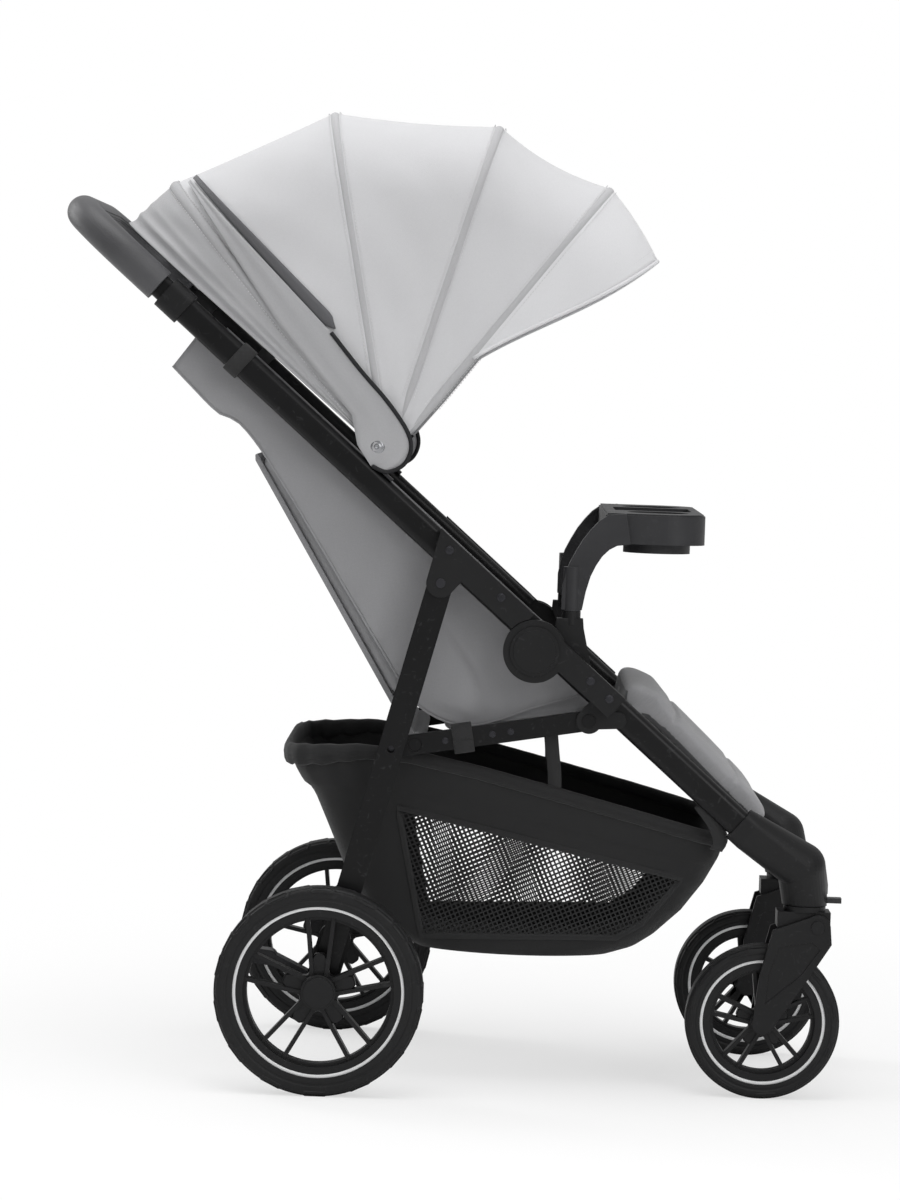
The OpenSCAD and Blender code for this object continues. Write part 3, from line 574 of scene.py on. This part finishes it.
def smooth_line(points, steps=8):
    """A smooth line through the given points."""
    p = np.asarray(points, float)
    p = np.vstack([2 * p[0] - p[1], p, 2 * p[-1] - p[-2]])
    out = []
    for k in range(1, len(p) - 2):
        for t in np.linspace(0, 1, steps, endpoint=False):
            out.append(0.5 * (2 * p[k] + (p[k + 1] - p[k - 1]) * t
                              + (2 * p[k - 1] - 5 * p[k] + 4 * p[k + 1] - p[k + 2]) * t ** 2
                              + (3 * p[k] - p[k - 1] - 3 * p[k + 1] + p[k + 2]) * t ** 3))
    return np.array(out + [p[-2]])


pivots = {joint["name"]: np.array(joint["pos_m"]) for joint in frame["joints"] if "pos_m" in joint}
axle_at = middle("rear_axle")


def side_point(x, z, y=0.0):
    """A point given in millimetres from the ground under the rear axle, in the side view."""
    return np.array([axle_at.x + x / 1000, y / 1000, z / 1000])


def side_line(*places):
    return [side_point(x, z) for x, z in places]


def unit(v):
    return v / np.linalg.norm(v)


both_sides = ((1, "left"), (-1, "right"))
hinge_at = np.array(middle("hinge_tube"))
link_ahead = unit(np.array(middle("front_cross_tube")) - hinge_at)
link_up = np.array([-link_ahead[2], 0, link_ahead[0]])

seat = stuffed("seat_pad", "seat_cushion", seat_cloth, link_ahead, most=0.007)
start = float(hinge_at @ link_ahead)
quilt(seat, link_up, link_ahead, [start + s for s in (0.075, 0.135, 0.190)], 0.006, 0.0055)
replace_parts(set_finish(seat, "seat_fabric"), "seat_pad")
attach(seat, "seat")

strap_foot = hinge_at + 0.142 * link_ahead + 0.0475 * link_up
strap_line = smooth_line([strap_foot + a * link_ahead + b * link_up for a, b in (
    (0.012, -0.004), (0.006, 0.006), (-0.004, 0.024), (-0.014, 0.046), (-0.022, 0.064))], 5)
crotch = sweep("crotch_webbing", strap_line, ribbon(0.040, 0.0024), webbing)
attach(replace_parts(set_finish(crotch, "webbing"), "crotch_strap"), "seat")

for near, name in both_sides:
    at = hinge_at + 0.057 * link_ahead + np.array([0, near * 0.2120, 0])
    loop = [at + 0.0085 * math.cos(a) * np.array([0, near, 0]) + 0.0172 * math.sin(a) * link_up
            for a in whole_turn(28)]
    elastic = sweep(f"elastic_loop_{name}", loop, ribbon(0.024, 0.0018), webbing, side=link_ahead, closed=True)
    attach(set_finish(elastic, "webbing"), "seat")

# ---- Backrest ----
# A stiff board in grey cloth on the hinge tube, with a foam pad in sewn
# channels in front of it and two padded shoulder straps.

board_cloth = woven("board_cloth", "7f7f81", place="Object")
paint(board_cloth, "board")
board_low, board_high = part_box("backrest_board")
back_up = unit(np.array([board_low[0], 0, board_high[2]]) - hinge_at)
back_out = np.array([back_up[2], 0, -back_up[0]])
back = stuffed("backrest_pad", "backrest_cushion", seat_cloth, back_up, most=0.006)
start = float(hinge_at @ back_up)
quilt(back, back_out, back_up, [start + s for s in (0.12, 0.19, 0.26, 0.33)], 0.005, 0.005,
      across_marks=(-0.105, 0.105))
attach(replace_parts(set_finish(back, "seat_fabric"), "backrest_pad"), "backrest")

cover = woven("pad_cover", "77777a", thread=0.0017)
for near, name in both_sides:
    line = smooth_line([hinge_at + s * back_up + n * back_out + np.array([0, near * y, 0]) for s, n, y in (
        (0.335, 0.020, 0.052), (0.300, 0.0305, 0.052), (0.240, 0.0335, 0.054), (0.180, 0.033, 0.057),
        (0.120, 0.0325, 0.061), (0.070, 0.030, 0.067))], 6)
    strap = sweep(f"shoulder_webbing_{name}", line, ribbon(0.025, 0.0018), webbing)
    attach(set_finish(strap, "webbing"), "backrest")
    if near == 1:
        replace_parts(strap, "shoulder_straps")
    pad_line = line[4:21] + 0.0052 * back_out
    swell = 0.72 + 0.28 * np.sin(np.linspace(0.05, math.pi - 0.05, len(pad_line))) ** 0.5
    sleeve = sweep(f"shoulder_pad_{name}", pad_line, oval(0.024, 0.0052, 24), cover, scale=swell)
    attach(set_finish(sleeve, "seat_fabric"), "backrest")

# ---- Side wings ----
# One layer of the seat cloth on each side, hemmed, hung from the tube and
# gathered round the seat's edge.

hub_at = np.array(middle("hub_caps"))
collar_at = np.array(middle("collars"))
tube_up = collar_at - hub_at
collar_off = (0.0091, 0.0107)
slope = math.atan2(tube_up[2] - collar_off[1], -tube_up[0] + collar_off[0])
tube_dir = np.array([-math.cos(slope), 0, math.sin(slope)])
tube_out = np.array([math.sin(slope), 0, math.cos(slope)])
line_at = np.array([collar_at[0], 0, collar_at[2]])
line_start = float((hub_at - line_at) @ tube_dir)


def on_line(s, n, y=0.0):
    """A point s metres up the tube from the hub, n off its middle line and y from the pushchair's middle."""
    return line_at + (line_start + s) * tube_dir + n * tube_out + np.array([0, y, 0])


def cloth(name, grid, material, thick=0.0011):
    """A sheet of cloth over a grid of points, two faces and a rim. Its texture place and its flat size are
    measured along the cloth."""
    grid = np.asarray(grid, float)
    n, m = grid.shape[:2]
    run_u = np.stack([run_along(row) for row in grid])
    run_v = np.stack([run_along(column) for column in grid.transpose(1, 0, 2)], 1)
    normal = np.cross(np.gradient(grid, axis=0), np.gradient(grid, axis=1))
    normal /= np.maximum(np.linalg.norm(normal, axis=2, keepdims=True), 1e-12)
    points = np.concatenate([(grid + normal * off).reshape(-1, 3) for off in (thick / 2, -thick / 2)])
    flat = np.tile(np.stack([run_u, run_v], 2).reshape(-1, 2), (2, 1))

    def at(i, j, k):
        return k * n * m + i * m + j

    faces = []
    for i in range(n - 1):
        for j in range(m - 1):
            faces.append((at(i, j, 0), at(i, j + 1, 0), at(i + 1, j + 1, 0), at(i + 1, j, 0)))
            faces.append((at(i, j, 1), at(i + 1, j, 1), at(i + 1, j + 1, 1), at(i, j + 1, 1)))
    faces += [(at(i, j, 0), at(i + 1, j, 0), at(i + 1, j, 1), at(i, j, 1))
              for i in range(n - 1) for j in (0, m - 1)]
    faces += [(at(i, j, 0), at(i, j + 1, 0), at(i, j + 1, 1), at(i, j, 1))
              for j in range(m - 1) for i in (0, n - 1)]
    obj = solid(name, points, faces, material, flat=flat)
    return obj


def resampled(points, count):
    """The same polyline with evenly spaced points."""
    points = np.asarray(points, float)
    run = run_along(points)
    return np.stack([np.interp(np.linspace(0, run[-1], count), run, points[:, k]) for k in range(3)], 1)


wing_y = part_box("side_wings")[1][1] - 0.0013
columns = 110
top_edge = resampled([on_line(s, 0.004) for s in (0.545, 0.40, 0.25, 0.10, -0.066)], columns)
low_edge = [on_line(0.540, -0.060), on_line(0.468, -0.064), on_line(0.398, -0.061)] + [
    hinge_at + [x, 0, z] for x, z in (
        (-0.028, 0.084), (0.000, 0.046), (0.036, 0.026), (0.075, 0.024), (0.150, 0.050), (0.206, 0.066))]
low_edge = resampled(smooth_line(low_edge, 10), columns)
crease = resampled(smooth_line(side_line(
    (128, 560), (143, 534), (163, 508), (177, 478), (180, 448), (176, 436)), 6), 60)


def bolster(line):
    """How far the padded back corner of the seat pushes the cloth out, with the crease where it ends."""
    gap = line[:, None, [0, 2]] - crease[None, :, [0, 2]]
    off = np.linalg.norm(gap, axis=2)
    close = off.argmin(1)
    along = np.gradient(crease, axis=0)[close]
    to_line = gap[np.arange(len(line)), close]
    side = np.sign(along[:, 0] * to_line[:, 1] - along[:, 2] * to_line[:, 0])
    off = off.min(1)
    fade = np.clip(1 - np.abs(close / (len(crease) - 1) - 0.5) * 2, 0, 1) ** 0.5
    inside = np.where(side < 0, 1 - np.exp(-off / 0.010), 0) * np.exp(-(off / 0.050) ** 2)
    return fade * (0.0085 * inside - 0.0022 * np.exp(-(off / 0.0035) ** 2))


for near, name in both_sides:
    rows = []
    u = np.linspace(0, 1, columns)
    for v in np.linspace(0, 1, 40):
        line = top_edge * (1 - v) + low_edge * v
        belly = 0.0055 * np.sin(math.pi * v) ** 0.8 - bolster(line)
        folds = 0.0022 * np.sin(math.pi * v) * np.sin(u * 31 + 4.2 * v + 1.3 * np.sin(7 * u)) * (0.3 + 0.7 * u)
        gather = 0.0016 * v ** 3 * np.sin(u * 74 + 2 * np.sin(9 * u))
        line[:, 1] = near * (wing_y - belly + folds - 0.0045 - 0.006 * v ** 6 + gather)
        rows.append(line)
    wing = cloth(f"side_wing_{name}", rows, seat_cloth)
    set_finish(wing, "seat_fabric")
    if near == 1:
        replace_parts(wing, "side_wings")
    hem = sweep(f"wing_hem_{name}", rows[-1][::2] + [0, near * 0.0004, 0], ribbon(0.0028, 0.0022), seat_cloth)
    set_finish(hem, "seat_fabric")
    for piece in (wing, hem):
        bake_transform(piece)

# ---- Leg rest ----
# A padded flap on a rod between the front tubes: the seat cloth on top, a
# darker cloth underneath.

rod_at = np.array(middle("leg_rest_rod"))
low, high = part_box("leg_rest_pad")
knee_at = rod_at + [0.060, 0, -0.005]
toe_at = np.array([high[0] - 0.006, 0, low[2] + 0.008])
down = unit(toe_at - knee_at)
leg_rest = stuffed("leg_rest_pad", "leg_rest_cushion", seat_cloth, down, voxel=0.005, most=0.005)
face = np.array([-down[2], 0, down[0]])
start = float(knee_at @ down)
quilt(leg_rest, face, down, [start + 0.004, start + 0.105], 0.0035, 0.0035)
leg_rest.data.materials.append(under_cloth)
under = values_of(leg_rest.data.polygons, "normal") @ face < -0.35
leg_rest.data.polygons.foreach_set("material_index", under.astype(np.int32))
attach(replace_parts(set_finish(leg_rest, "seat_fabric"), "leg_rest_pad"), "leg_rest")

# ---- Footboard and tray ----
# A ribbed nylon step on a light grey bar, and a removable snack tray with two
# cup pockets, whose arms swing on studs over the hubs.

foot_grey = grained("foot_grey", "8b8c8e", 0.45, 1600.0, 0.00008, 0.05)
paint(foot_grey, "foot_grey")

# ---- Basket ----
# A shell of black woven polyester with rounded corners and a gathered rim. Each
# side has a window of open mesh, bound with tape, and webbing carries it.

def dotted(tree, place, direction):
    return add(tree, "ShaderNodeVectorMath", {0: place, 1: direction}, operation="DOT_PRODUCT").outputs["Value"]


def meshed(name, colour, edges):
    """Black cloth that turns to open mesh inside a region of the side view; edges are (a, b, c) with
    a x + b z < c inside it."""
    material = woven(name, colour, rough=0.8, thread=0.0016, crease=0.0035, sheen=0.08)
    tree = material.node_tree
    place = add(tree, "ShaderNodeTexCoord").outputs["Object"]
    over = [maths(tree, "SUBTRACT", dotted(tree, place, (a, 0, b)), c) for a, b, c in edges]
    outside = over[0]
    for more in over[1:]:
        outside = maths(tree, "MAXIMUM", outside, more)
    hole = maths(tree, "LESS_THAN", outside, 0.0)
    for slant in ((170.0, 0, 76.0), (-76.0, 0, 170.0)):
        off = maths(tree, "SUBTRACT", maths(tree, "FRACT", dotted(tree, place, slant)), 0.5)
        hole = maths(tree, "MULTIPLY", hole, maths(tree, "LESS_THAN", maths(tree, "ABSOLUTE", off), 0.33))
    clear = add(tree, "ShaderNodeBsdfTransparent")
    mixed = add(tree, "ShaderNodeMixShader", {
        0: hole, 1: tree.nodes["Principled BSDF"].outputs[0], 2: clear.outputs[0]})
    feed(tree.nodes["Material Output"], {"Surface": mixed.outputs[0]})
    return material


window = side_line((84, 333), (424, 259), (378, 202), (348, 184), (116, 178))
limits = []
heart = sum(window) / len(window)
for a, b in zip(window, window[1:] + window[:1]):
    out = unit(np.array([b[2] - a[2], 0, a[0] - b[0]]))
    out = out if (heart - a) @ out < 0 else -out
    limits.append((float(out[0]), float(out[2]), float(a @ out)))
basket_cloth = meshed("basket_cloth", "101011", limits)

depths = 40
rear_edge = resampled(side_line(
    (-49, 396), (-40, 372), (-20, 336), (0, 290), (22, 238), (55, 187), (104, 165)), depths)
front_edge = resampled(side_line(
    (480, 305), (473, 281), (456, 249), (431, 215), (400, 186), (377, 171), (350, 163)), depths)
rim_heights = ((-49, 396), (-10, 398), (40, 402), (95, 398), (180, 381), (266, 360), (370, 334), (479, 305))
basket_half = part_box("basket")[1][1] - 0.0012
loop_steps, puckers, corner_power = 220, 74, 9.0


def basket_loop(v):
    """The basket's section at a depth v from its rim, as a closed loop in plan."""
    k = v * (depths - 1)
    i = min(int(k), depths - 2)
    back, front = (edge[i] * (1 - k + i) + edge[i + 1] * (k - i) for edge in (rear_edge, front_edge))
    half = basket_half - 0.040 * v ** 1.6
    length = np.linalg.norm(front - back)
    middle_at, ahead = (front + back) / 2, (front - back) / length
    out = []
    for a in whole_turn(loop_steps):
        c, s = math.cos(a), math.sin(a)
        r = (abs(c) ** corner_power + abs(s) ** corner_power) ** (-1 / corner_power)
        x, y = r * c, r * s
        sag = -0.006 * (1 - x * x) * v
        belly = 0.007 * math.sin(math.pi * v) * (1 - abs(x) ** 4) * abs(y) ** 6
        rear = float(np.clip((-x - 0.55) / 0.15, 0, 1))
        pucker = (0.0002 + 0.0030 * rear) * math.exp(-v / 0.12) * math.sin(a * puckers + 2 * math.sin(5 * a))
        cuff = 0.006 * rear * float(np.clip((0.19 - v) / 0.03, 0, 1))
        slack = 0.0022 * math.sin(math.pi * v) * math.sin(7 * x + 5 * v + 2 * y) * abs(y) ** 3
        at = middle_at + ahead * x * (length / 2 - 0.004 + cuff)
        lift = np.interp((at[0] - axle_at.x) * 1000, *zip(*rim_heights)) / 1000
        t = np.clip((at[0] - rear_edge[0][0]) / (front_edge[0][0] - rear_edge[0][0]), 0, 1)
        lift -= rear_edge[0][2] * (1 - t) + front_edge[0][2] * t
        out.append(at + np.array([0, y * (half - belly + pucker + slack - 0.004), sag + lift * (1 - v) ** 1.5]))
    return np.array(out)


walls = [basket_loop(v) for v in np.linspace(0, 1, 44)]
foot = walls[-1]
foot_at = foot.mean(axis=0)
floor_rows = [foot_at + (foot - foot_at) * s + np.array([0, 0, -0.004 * (1 - s)])
              for s in (0.93, 0.8, 0.6, 0.4, 0.2, 0.03)]
grid = np.array(walls + floor_rows)
grid = np.concatenate([grid, grid[:, :1]], 1)
basket = cloth("basket_shell", grid, basket_cloth)
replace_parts(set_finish(basket, "dark_fabric"), "basket")
gathered = np.clip((axle_at.x + 0.06 - walls[0][:, 0]) / 0.08, 0, 1)
ripple = np.sin(whole_turn(loop_steps) * puckers)
rim_section = [(0.0085 * math.sin(a) - 0.004, 0.0040 * math.cos(a)) for a in whole_turn(12)]
rim = sweep("basket_rim", walls[0] + np.array([0, 0, 0.001]), rim_section, dark_cloth, side=(0, 0, 1),
            closed=True, scale=1 + (0.02 + 0.14 * gathered) * ripple + 0.5 * gathered)
leg_foot_at = np.array(axle_at)
leg_dir = unit(pivots["rear_leg_fold"] - leg_foot_at)
fold_ahead = np.array([leg_dir[2], 0, -leg_dir[0]])
wall_points = np.concatenate(walls)
soft_pieces = [basket, rim]
for near, name in both_sides:
    tape = np.array([a * (1 - t) + b * t for a, b in zip(window, window[1:] + window[:1])
                     for t in np.linspace(0, 1, 16, endpoint=False)])
    side_points = wall_points[wall_points[:, 1] * near > 0.1]
    for p in tape:
        close = side_points[np.argmin(((side_points - p)[:, [0, 2]] ** 2).sum(1))]
        p[1] = close[1] + near * 0.0008
    bound = sweep(f"window_tape_{name}", tape, ribbon(0.0016, 0.007), webbing, closed=True)
    soft_pieces.append(bound)
    for label, places in (
            ("front", ((462, 296, 196), (466, 308, 204), (457, 330, 211.5), (440, 352, 212))),
            ("middle", ((262, 432, 200), (265, 405, 199), (268, 380, 195), (269, 350, 190))),
            ("rear", ((69, 388, 198), (69, 398, 203), (69, 398, 215), (69, 388, 223)))):
        line = smooth_line([side_point(x, z, near * y) for x, z, y in places], 6)
        hold = sweep(f"basket_strap_{label}_{name}", line, ribbon(0.016, 0.0018), webbing,
                     side=fold_ahead if label != "front" else (1, 0, 0.2))
        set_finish(hold, "webbing")
        if near == 1 and label == "front":
            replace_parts(hold, "basket_straps")
        soft_pieces.append(hold)
for piece in soft_pieces:
    if "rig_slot" not in piece:
        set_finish(piece, "dark_fabric")
    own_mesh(piece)
    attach(piece, "rear_frame")

# ---- Hood ----
# Light grey cloth sewn over four spring ribs that turn on a mount at each side.
# A pleated skirt closes it behind, with a piped flap that snaps over each mount,
# and a stiffened visor is in front.

hood_cloth = woven("hood_cloth", "c8c8ca", rough=0.84, thread=0.0014, spread=0.06, crease=0.0011)
# The visor's cloth is the hood cloth in a lighter colour: painted light, standing for the brighter light on the
# front of the hood.
visor_painted_light_cloth = woven("visor_painted_light_cloth", "d6d6d8", rough=0.84, thread=0.0014, spread=0.06, crease=0.0011)
skirt_cloth = woven("skirt_cloth", "a6a6a8", rough=0.86, thread=0.0014, crease=0.0020)
rib_cloth = woven("rib_cloth", "b0b0b2", rough=0.84, thread=0.0014)
rib_angles = (130.3, 101.0, 73.3, 52.2)
pivot_at = pivots["canopy_1_fold"]
hood_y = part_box("canopy_panel_2")[1][1] - 0.001
hood_corner, hood_radius = 0.097, 0.414


def arch(radius=hood_radius, start=0.006):
    """The hood's section from low on the right side over the top to the left: distances from the pivot
    line, sides, and the directions that the cloth faces."""
    left = [(start + (radius - hood_corner - start) * s, hood_y, 0.0, 1.0)
            for s in np.linspace(0, 1, 26, endpoint=False)]
    left += [(radius - hood_corner * (1 - math.sin(a)), hood_y - hood_corner * (1 - math.cos(a)),
              math.sin(a), math.cos(a)) for a in np.linspace(0, math.pi / 2, 18, endpoint=False)]
    left += [(radius, (hood_y - hood_corner) * (1 - s), 1.0, 0.0) for s in np.linspace(0, 1, 14)]
    return np.array([(r, -y, nr, -ny) for r, y, nr, ny in left] + left[-2::-1])


def turned_up(r, y, angle, aside=0.0):
    """Points r from the hood's pivot line and at sides y, at an angle in degrees, and aside from it."""
    c, s = np.cos(np.radians(angle)), np.sin(np.radians(angle))
    return np.stack([pivot_at[0] + r * c - aside * s, y, pivot_at[2] + r * s + aside * c], 1)


def hood_point(angle, section, stretch=1.0, sag=0.0):
    """Points of the hood's section at an angle over the pivot, in degrees."""
    taper = np.clip(section[:, 0] / 0.41, 0, 1) ** 0.7
    r = section[:, 0] * stretch - sag * taper * section[:, 2]
    y = section[:, 1] - sag * taper * section[:, 3] * 0.8
    return turned_up(r, y, angle)


base_section = arch()


def hood_panel(name, upper, lower, sag, material, pleats=0, steps=36):
    """A panel of hood cloth between two angles, pulled straight between its ribs or laid in pleats."""
    rows = []
    half = math.radians(upper - lower) / 2
    for t in np.linspace(0, 1, steps):
        stretch = math.cos(half) / math.cos((t - 0.5) * 2 * half)
        dip = sag * 4 * t * (1 - t)
        ripple = 0.0016 * math.sin(math.pi * t) * np.sin(base_section[:, 0] * 60 + 9 * t)
        ripple = ripple * base_section[:, 3] ** 2
        if pleats:
            near_tube = math.exp(-(t / 0.42) ** 2)
            share = 0.35 + 0.65 * base_section[:, 3] ** 2
            dip = share * 0.009 * near_tube * abs(math.sin(math.pi * pleats * t)) - 0.004 * (1 - t)
        rows.append(hood_point(upper + (lower - upper) * t, base_section, stretch, dip + ripple))
    return cloth(name, rows, material)


skirt_angle, sags = 140.0, (0.0, 0.001, 0.004, 0.009)
for k, (upper, lower, sag) in enumerate(zip((skirt_angle,) + rib_angles, rib_angles, sags)):
    panel = hood_panel(f"hood_panel_{k + 1}", upper, lower, sag, hood_cloth if k else skirt_cloth,
                       pleats=0 if k else 4)
    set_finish(panel, "hood_fabric")
    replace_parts(panel, f"canopy_panel_{k + 1}")
    ends = [pivot_at + 0.30 * np.array([math.cos(math.radians(a)), 0, math.sin(math.radians(a))])
            for a in (upper, lower)]
    start, end = ends[0] * 0.72 + ends[1] * 0.28, ends[0] * 0.28 + ends[1] * 0.72
    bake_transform(panel)

visor_rows = []
visor_from, visor_angle = 0.155, 14.2
reach = np.clip((base_section[:, 0] - visor_from) / (hood_radius - visor_from), 0, 1)
spread = 1 - (1 - reach) ** 2.2
for t in np.linspace(0, 1, 16):
    visor_rows.append(turned_up(base_section[:, 0] * (1 - 0.045 * t), base_section[:, 1],
                                rib_angles[3] - visor_angle * t * spread))
keep = np.where(spread > 0.03)[0]
# The visor uses the hood cloth made lighter with painted light.
visor = cloth("hood_visor", np.array(visor_rows)[:, keep[0]:keep[-1] + 1], visor_painted_light_cloth,
              thick=0.0016)
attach(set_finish(visor, "hood_fabric"), "canopy_4")


def stitch_tree():
    """Stitches laid end to end along a line."""
    tree, given = started("stitches", Line="Object", Stitch="Object", Pitch="Float", Finish="Material")
    line = add(tree, "GeometryNodeObjectInfo", {"Object": given["Line"]})
    stitch = add(tree, "GeometryNodeObjectInfo", {"Object": given["Stitch"]})
    even = add(tree, "GeometryNodeResampleCurve", {
        "Curve": line.outputs["Geometry"], "Length": given["Pitch"]}, mode="LENGTH")
    along = add(tree, "GeometryNodeInputTangent")
    turn = add(tree, "FunctionNodeAlignRotationToVector", {"Vector": along.outputs[0]}, axis="X")
    every = add(tree, "GeometryNodeInstanceOnPoints", {
        "Points": even.outputs[0], "Instance": stitch.outputs["Geometry"], "Rotation": turn.outputs[0]})
    return ended(tree, every.outputs[0], given["Finish"])


stitches = stitch_tree()
thread_light = grained("thread_light", "cfcfd0", 0.7, 900.0, 0.00002)
thread_dark = grained("thread_dark", "59595b", 0.7, 900.0, 0.00002)


def stitched(name, lines, thread, pitch=0.0042, long=0.0028, thick=0.00042):
    """Rows of stitches along lines, as one mesh."""
    ring = oval(thick, thick, 6)
    stub = [(-long / 2, 0, 0)] + [(x, y, z) for x in (-long * 0.3, long * 0.3) for y, z in ring]
    stub.append((long / 2, 0, 0))
    faces = [(0, 1 + (i + 1) % 6, 1 + i) for i in range(6)] + [(13, 7 + i, 7 + (i + 1) % 6) for i in range(6)]
    faces += [(1 + i, 1 + (i + 1) % 6, 7 + (i + 1) % 6, 7 + i) for i in range(6)]
    stitch = solid("stitch", stub, faces, thread)
    curve = bpy.data.curves.new(name + "_line", "CURVE")
    curve.dimensions = "3D"
    for line in lines:
        spline = curve.splines.new("POLY")
        spline.points.add(len(line) - 1)
        spline.points.foreach_set("co", np.concatenate([np.asarray(line), np.ones((len(line), 1))], 1).ravel())
    holder = bpy.data.objects.new(name + "_line", curve)
    scene.collection.objects.link(holder)
    made = grown(name, stitches, {"Line": holder, "Stitch": stitch, "Pitch": pitch, "Finish": thread})
    bpy.data.objects.remove(holder)
    bpy.data.objects.remove(stitch)
    return made


def rib_line(angle, off, aside=0.0):
    """A line over the hood at a rib's angle, off the cloth and aside from the rib."""
    r, y = (base_section[:, :2] + off * base_section[:, 2:]).T
    return turned_up(r, y, angle, aside)


sleeve = oval(0.0058, 0.0050, 14)
black_piping = grained("black_piping", "17171a", 0.55, 800.0, 0.00006)
vent_mesh = woven("vent_mesh", "5a5a5d", rough=0.8, thread=0.0013)
for k, angle in enumerate(rib_angles):
    c, s = math.cos(math.radians(angle)), math.sin(math.radians(angle))
    line = rib_line(angle, -0.0034)[2:-2]
    reach = np.hypot(line[:, 0] - pivot_at[0], line[:, 2] - pivot_at[2])
    cover = sweep(f"rib_sleeve_{k + 1}", line, sleeve, skirt_cloth if k == 0 else rib_cloth, side=(-s, 0, c),
                  scale=np.clip(0.45 + reach / 0.16, 0, 1.35 if k == 0 else 1.0))
    rows = stitched(f"rib_stitches_{k + 1}", [rib_line(angle, 0.0009, aside=e * 0.0066)[6:-6] for e in (-1, 1)],
                    thread_light)
    for piece in (cover, rows):
        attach(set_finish(piece, "hood_fabric"), f"canopy_{k + 1}")

flank = base_section[:44]
line_steps = 70
flap_off = max(0.0024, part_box("canopy_mounts")[1][1] + 0.0012 - hood_y)


def on_flank(x, z, near, off):
    """A point over the hood's side, x ahead of and z above the pivot, off the cloth."""
    return pivot_at + [x, near * (np.interp(math.hypot(x, z), flank[:, 0], -flank[:, 1]) + off), z]


seam_top, seam_foot = np.array([-0.2450, 0, 0.3200]), np.array([-0.0710, 0, 0.1450])
round_foot = [(-0.071, 0.145), (-0.036, 0.103), (-0.003, 0.067), (0.021, 0.034),
              (0.027, 0.012), (0.019, -0.007), (0.000, -0.016), (-0.018, -0.010)]
front_line = resampled([seam_top] + [(x, 0, z) for x, z in round_foot], line_steps)
back_line = resampled([(x, 0, z) for x, z in (
    (-0.2475, 0.3170), (-0.133, 0.153), (-0.044, 0.050), (-0.036, 0.014), (-0.020, -0.009))], line_steps)
for near, name in both_sides:
    rows = []
    for u in np.linspace(0, 1, 9):
        line = back_line * (1 - u) + front_line * u
        fold = 0.0011 * math.sin(math.pi * u) * np.sin(np.linspace(0, 1, line_steps) * 5 + 9 * u)
        rows.append([on_flank(p[0], p[2], near, flap_off + f) for p, f in zip(line, fold)])
    flap = cloth(f"hood_flap_{name}", rows, skirt_cloth)
    foot = smooth_line([on_flank(x, z, near, flap_off) for x, z in round_foot], 6)
    piping = sweep(f"hood_piping_{name}", foot, oval(0.0026, 0.0026), black_piping)
    up = np.linspace(0, 1, 40)
    part = [on_flank(*(seam_foot * (1 - t) + seam_top * t)[[0, 2]] + 0.0045, near, 0.0012) for t in up]
    band = sweep(f"hood_vent_{name}", part, ribbon(0.0026, 0.018), vent_mesh,
                 scale=np.clip(up / 0.06, 0.1, 1) * (1 - 0.65 * up))
    for piece in (flap, piping, band):
        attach(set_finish(piece, "hood_fabric"), "canopy_1")

edge_line = visor_rows[-1][keep[0]:keep[-1] + 1]
# The binding uses the same hood cloth made lighter with painted light.
binding = sweep("visor_binding", edge_line, oval(0.0024, 0.0024), visor_painted_light_cloth, side=(0, 1, 0.2))
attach(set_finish(binding, "hood_fabric"), "canopy_4")
sewn = stitched("visor_stitches", [visor_rows[13][keep[4]:keep[-5] + 1] + [0, 0, 0.0012]], thread_light)
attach(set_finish(sewn, "hood_fabric"), "canopy_4")

snap_steel = grained("snap_steel", "9c9da0", 0.3, 900.0, 0.00002, metallic=1.0)
for near, name in both_sides:
    y = near * (hood_y + flap_off)
    snap = lathe(f"hood_snap_{name}", (pivot_at[0] - 0.013, 0, pivot_at[2] + 0.013), [
        (r, y + near * out) for r, out in (
            (0.0002, -0.001), (0.0002, 0.0016), (0.0035, 0.0018), (0.0042, 0.0012), (0.0066, 0.0016),
            (0.0096, 0.0002), (0.0098, -0.0018))], snap_steel, steps=48)
    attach(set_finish(snap, "steel"), "handle_frame")
    strap_at = on_line(0.485, 0.0, near * 0.212)
    loop = [strap_at + 0.0192 * math.copysign(abs(math.cos(a)) ** 0.75, math.cos(a)) * tube_out
            + np.array([0, 0.0114 * math.copysign(abs(math.sin(a)) ** 0.75, math.sin(a)), 0])
            for a in whole_turn(36)]
    wrap = sweep(f"tube_strap_{name}", loop, ribbon(0.019, 0.0022), webbing, side=tube_dir, closed=True)
    if near == 1:
        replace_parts(wrap, "tube_straps")
    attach(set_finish(wrap, "webbing"), "handle_frame")

# ---- Handlebar grip ----
# Foam under dark grey grained leatherette, sewn along the inner side of the
# bar, on the telescopic handle tube.

leatherette = grained("leatherette", "4b4b4d", 0.42, 620.0, 0.00035, 0.06)
paint(leatherette, "grip")
grip_end, bend_s, bar_s = 0.618, 0.660, 0.745
seam_off = 0.0143


def bar_line(inward, up):
    """A line along the handlebar, moved inwards and up from its middle."""
    bend = bar_s - bend_s - inward
    side_y = 0.212 - inward
    half = [on_line(s, up, side_y) for s in np.linspace(grip_end, bend_s, 10)]
    half += [on_line(bend_s + bend * math.sin(a), up, side_y - bend * (1 - math.cos(a)))
             for a in np.linspace(0, math.pi / 2, 14)[1:]]
    half += [on_line(bend_s + bend, up, y) for y in np.linspace(side_y - bend, 0, 12)[1:]]
    return np.array(half + [p * np.array([1, -1, 1]) for p in half[-2::-1]])


seam = sweep("grip_seam", bar_line(seam_off, seam_off), oval(0.0009, 0.0009, 8), leatherette, side=(0, 0.3, 1))
rows = stitched("grip_stitches", [bar_line(seam_off + e * 0.0022, seam_off - e * 0.0022) for e in (-1, 1)],
                thread_dark, pitch=0.0050, long=0.0034, thick=0.0005)
for piece in (seam, rows):
    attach(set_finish(piece, "grip"), "handle")

# ---- Last update of the scene ----
bpy.context.view_layer.update()
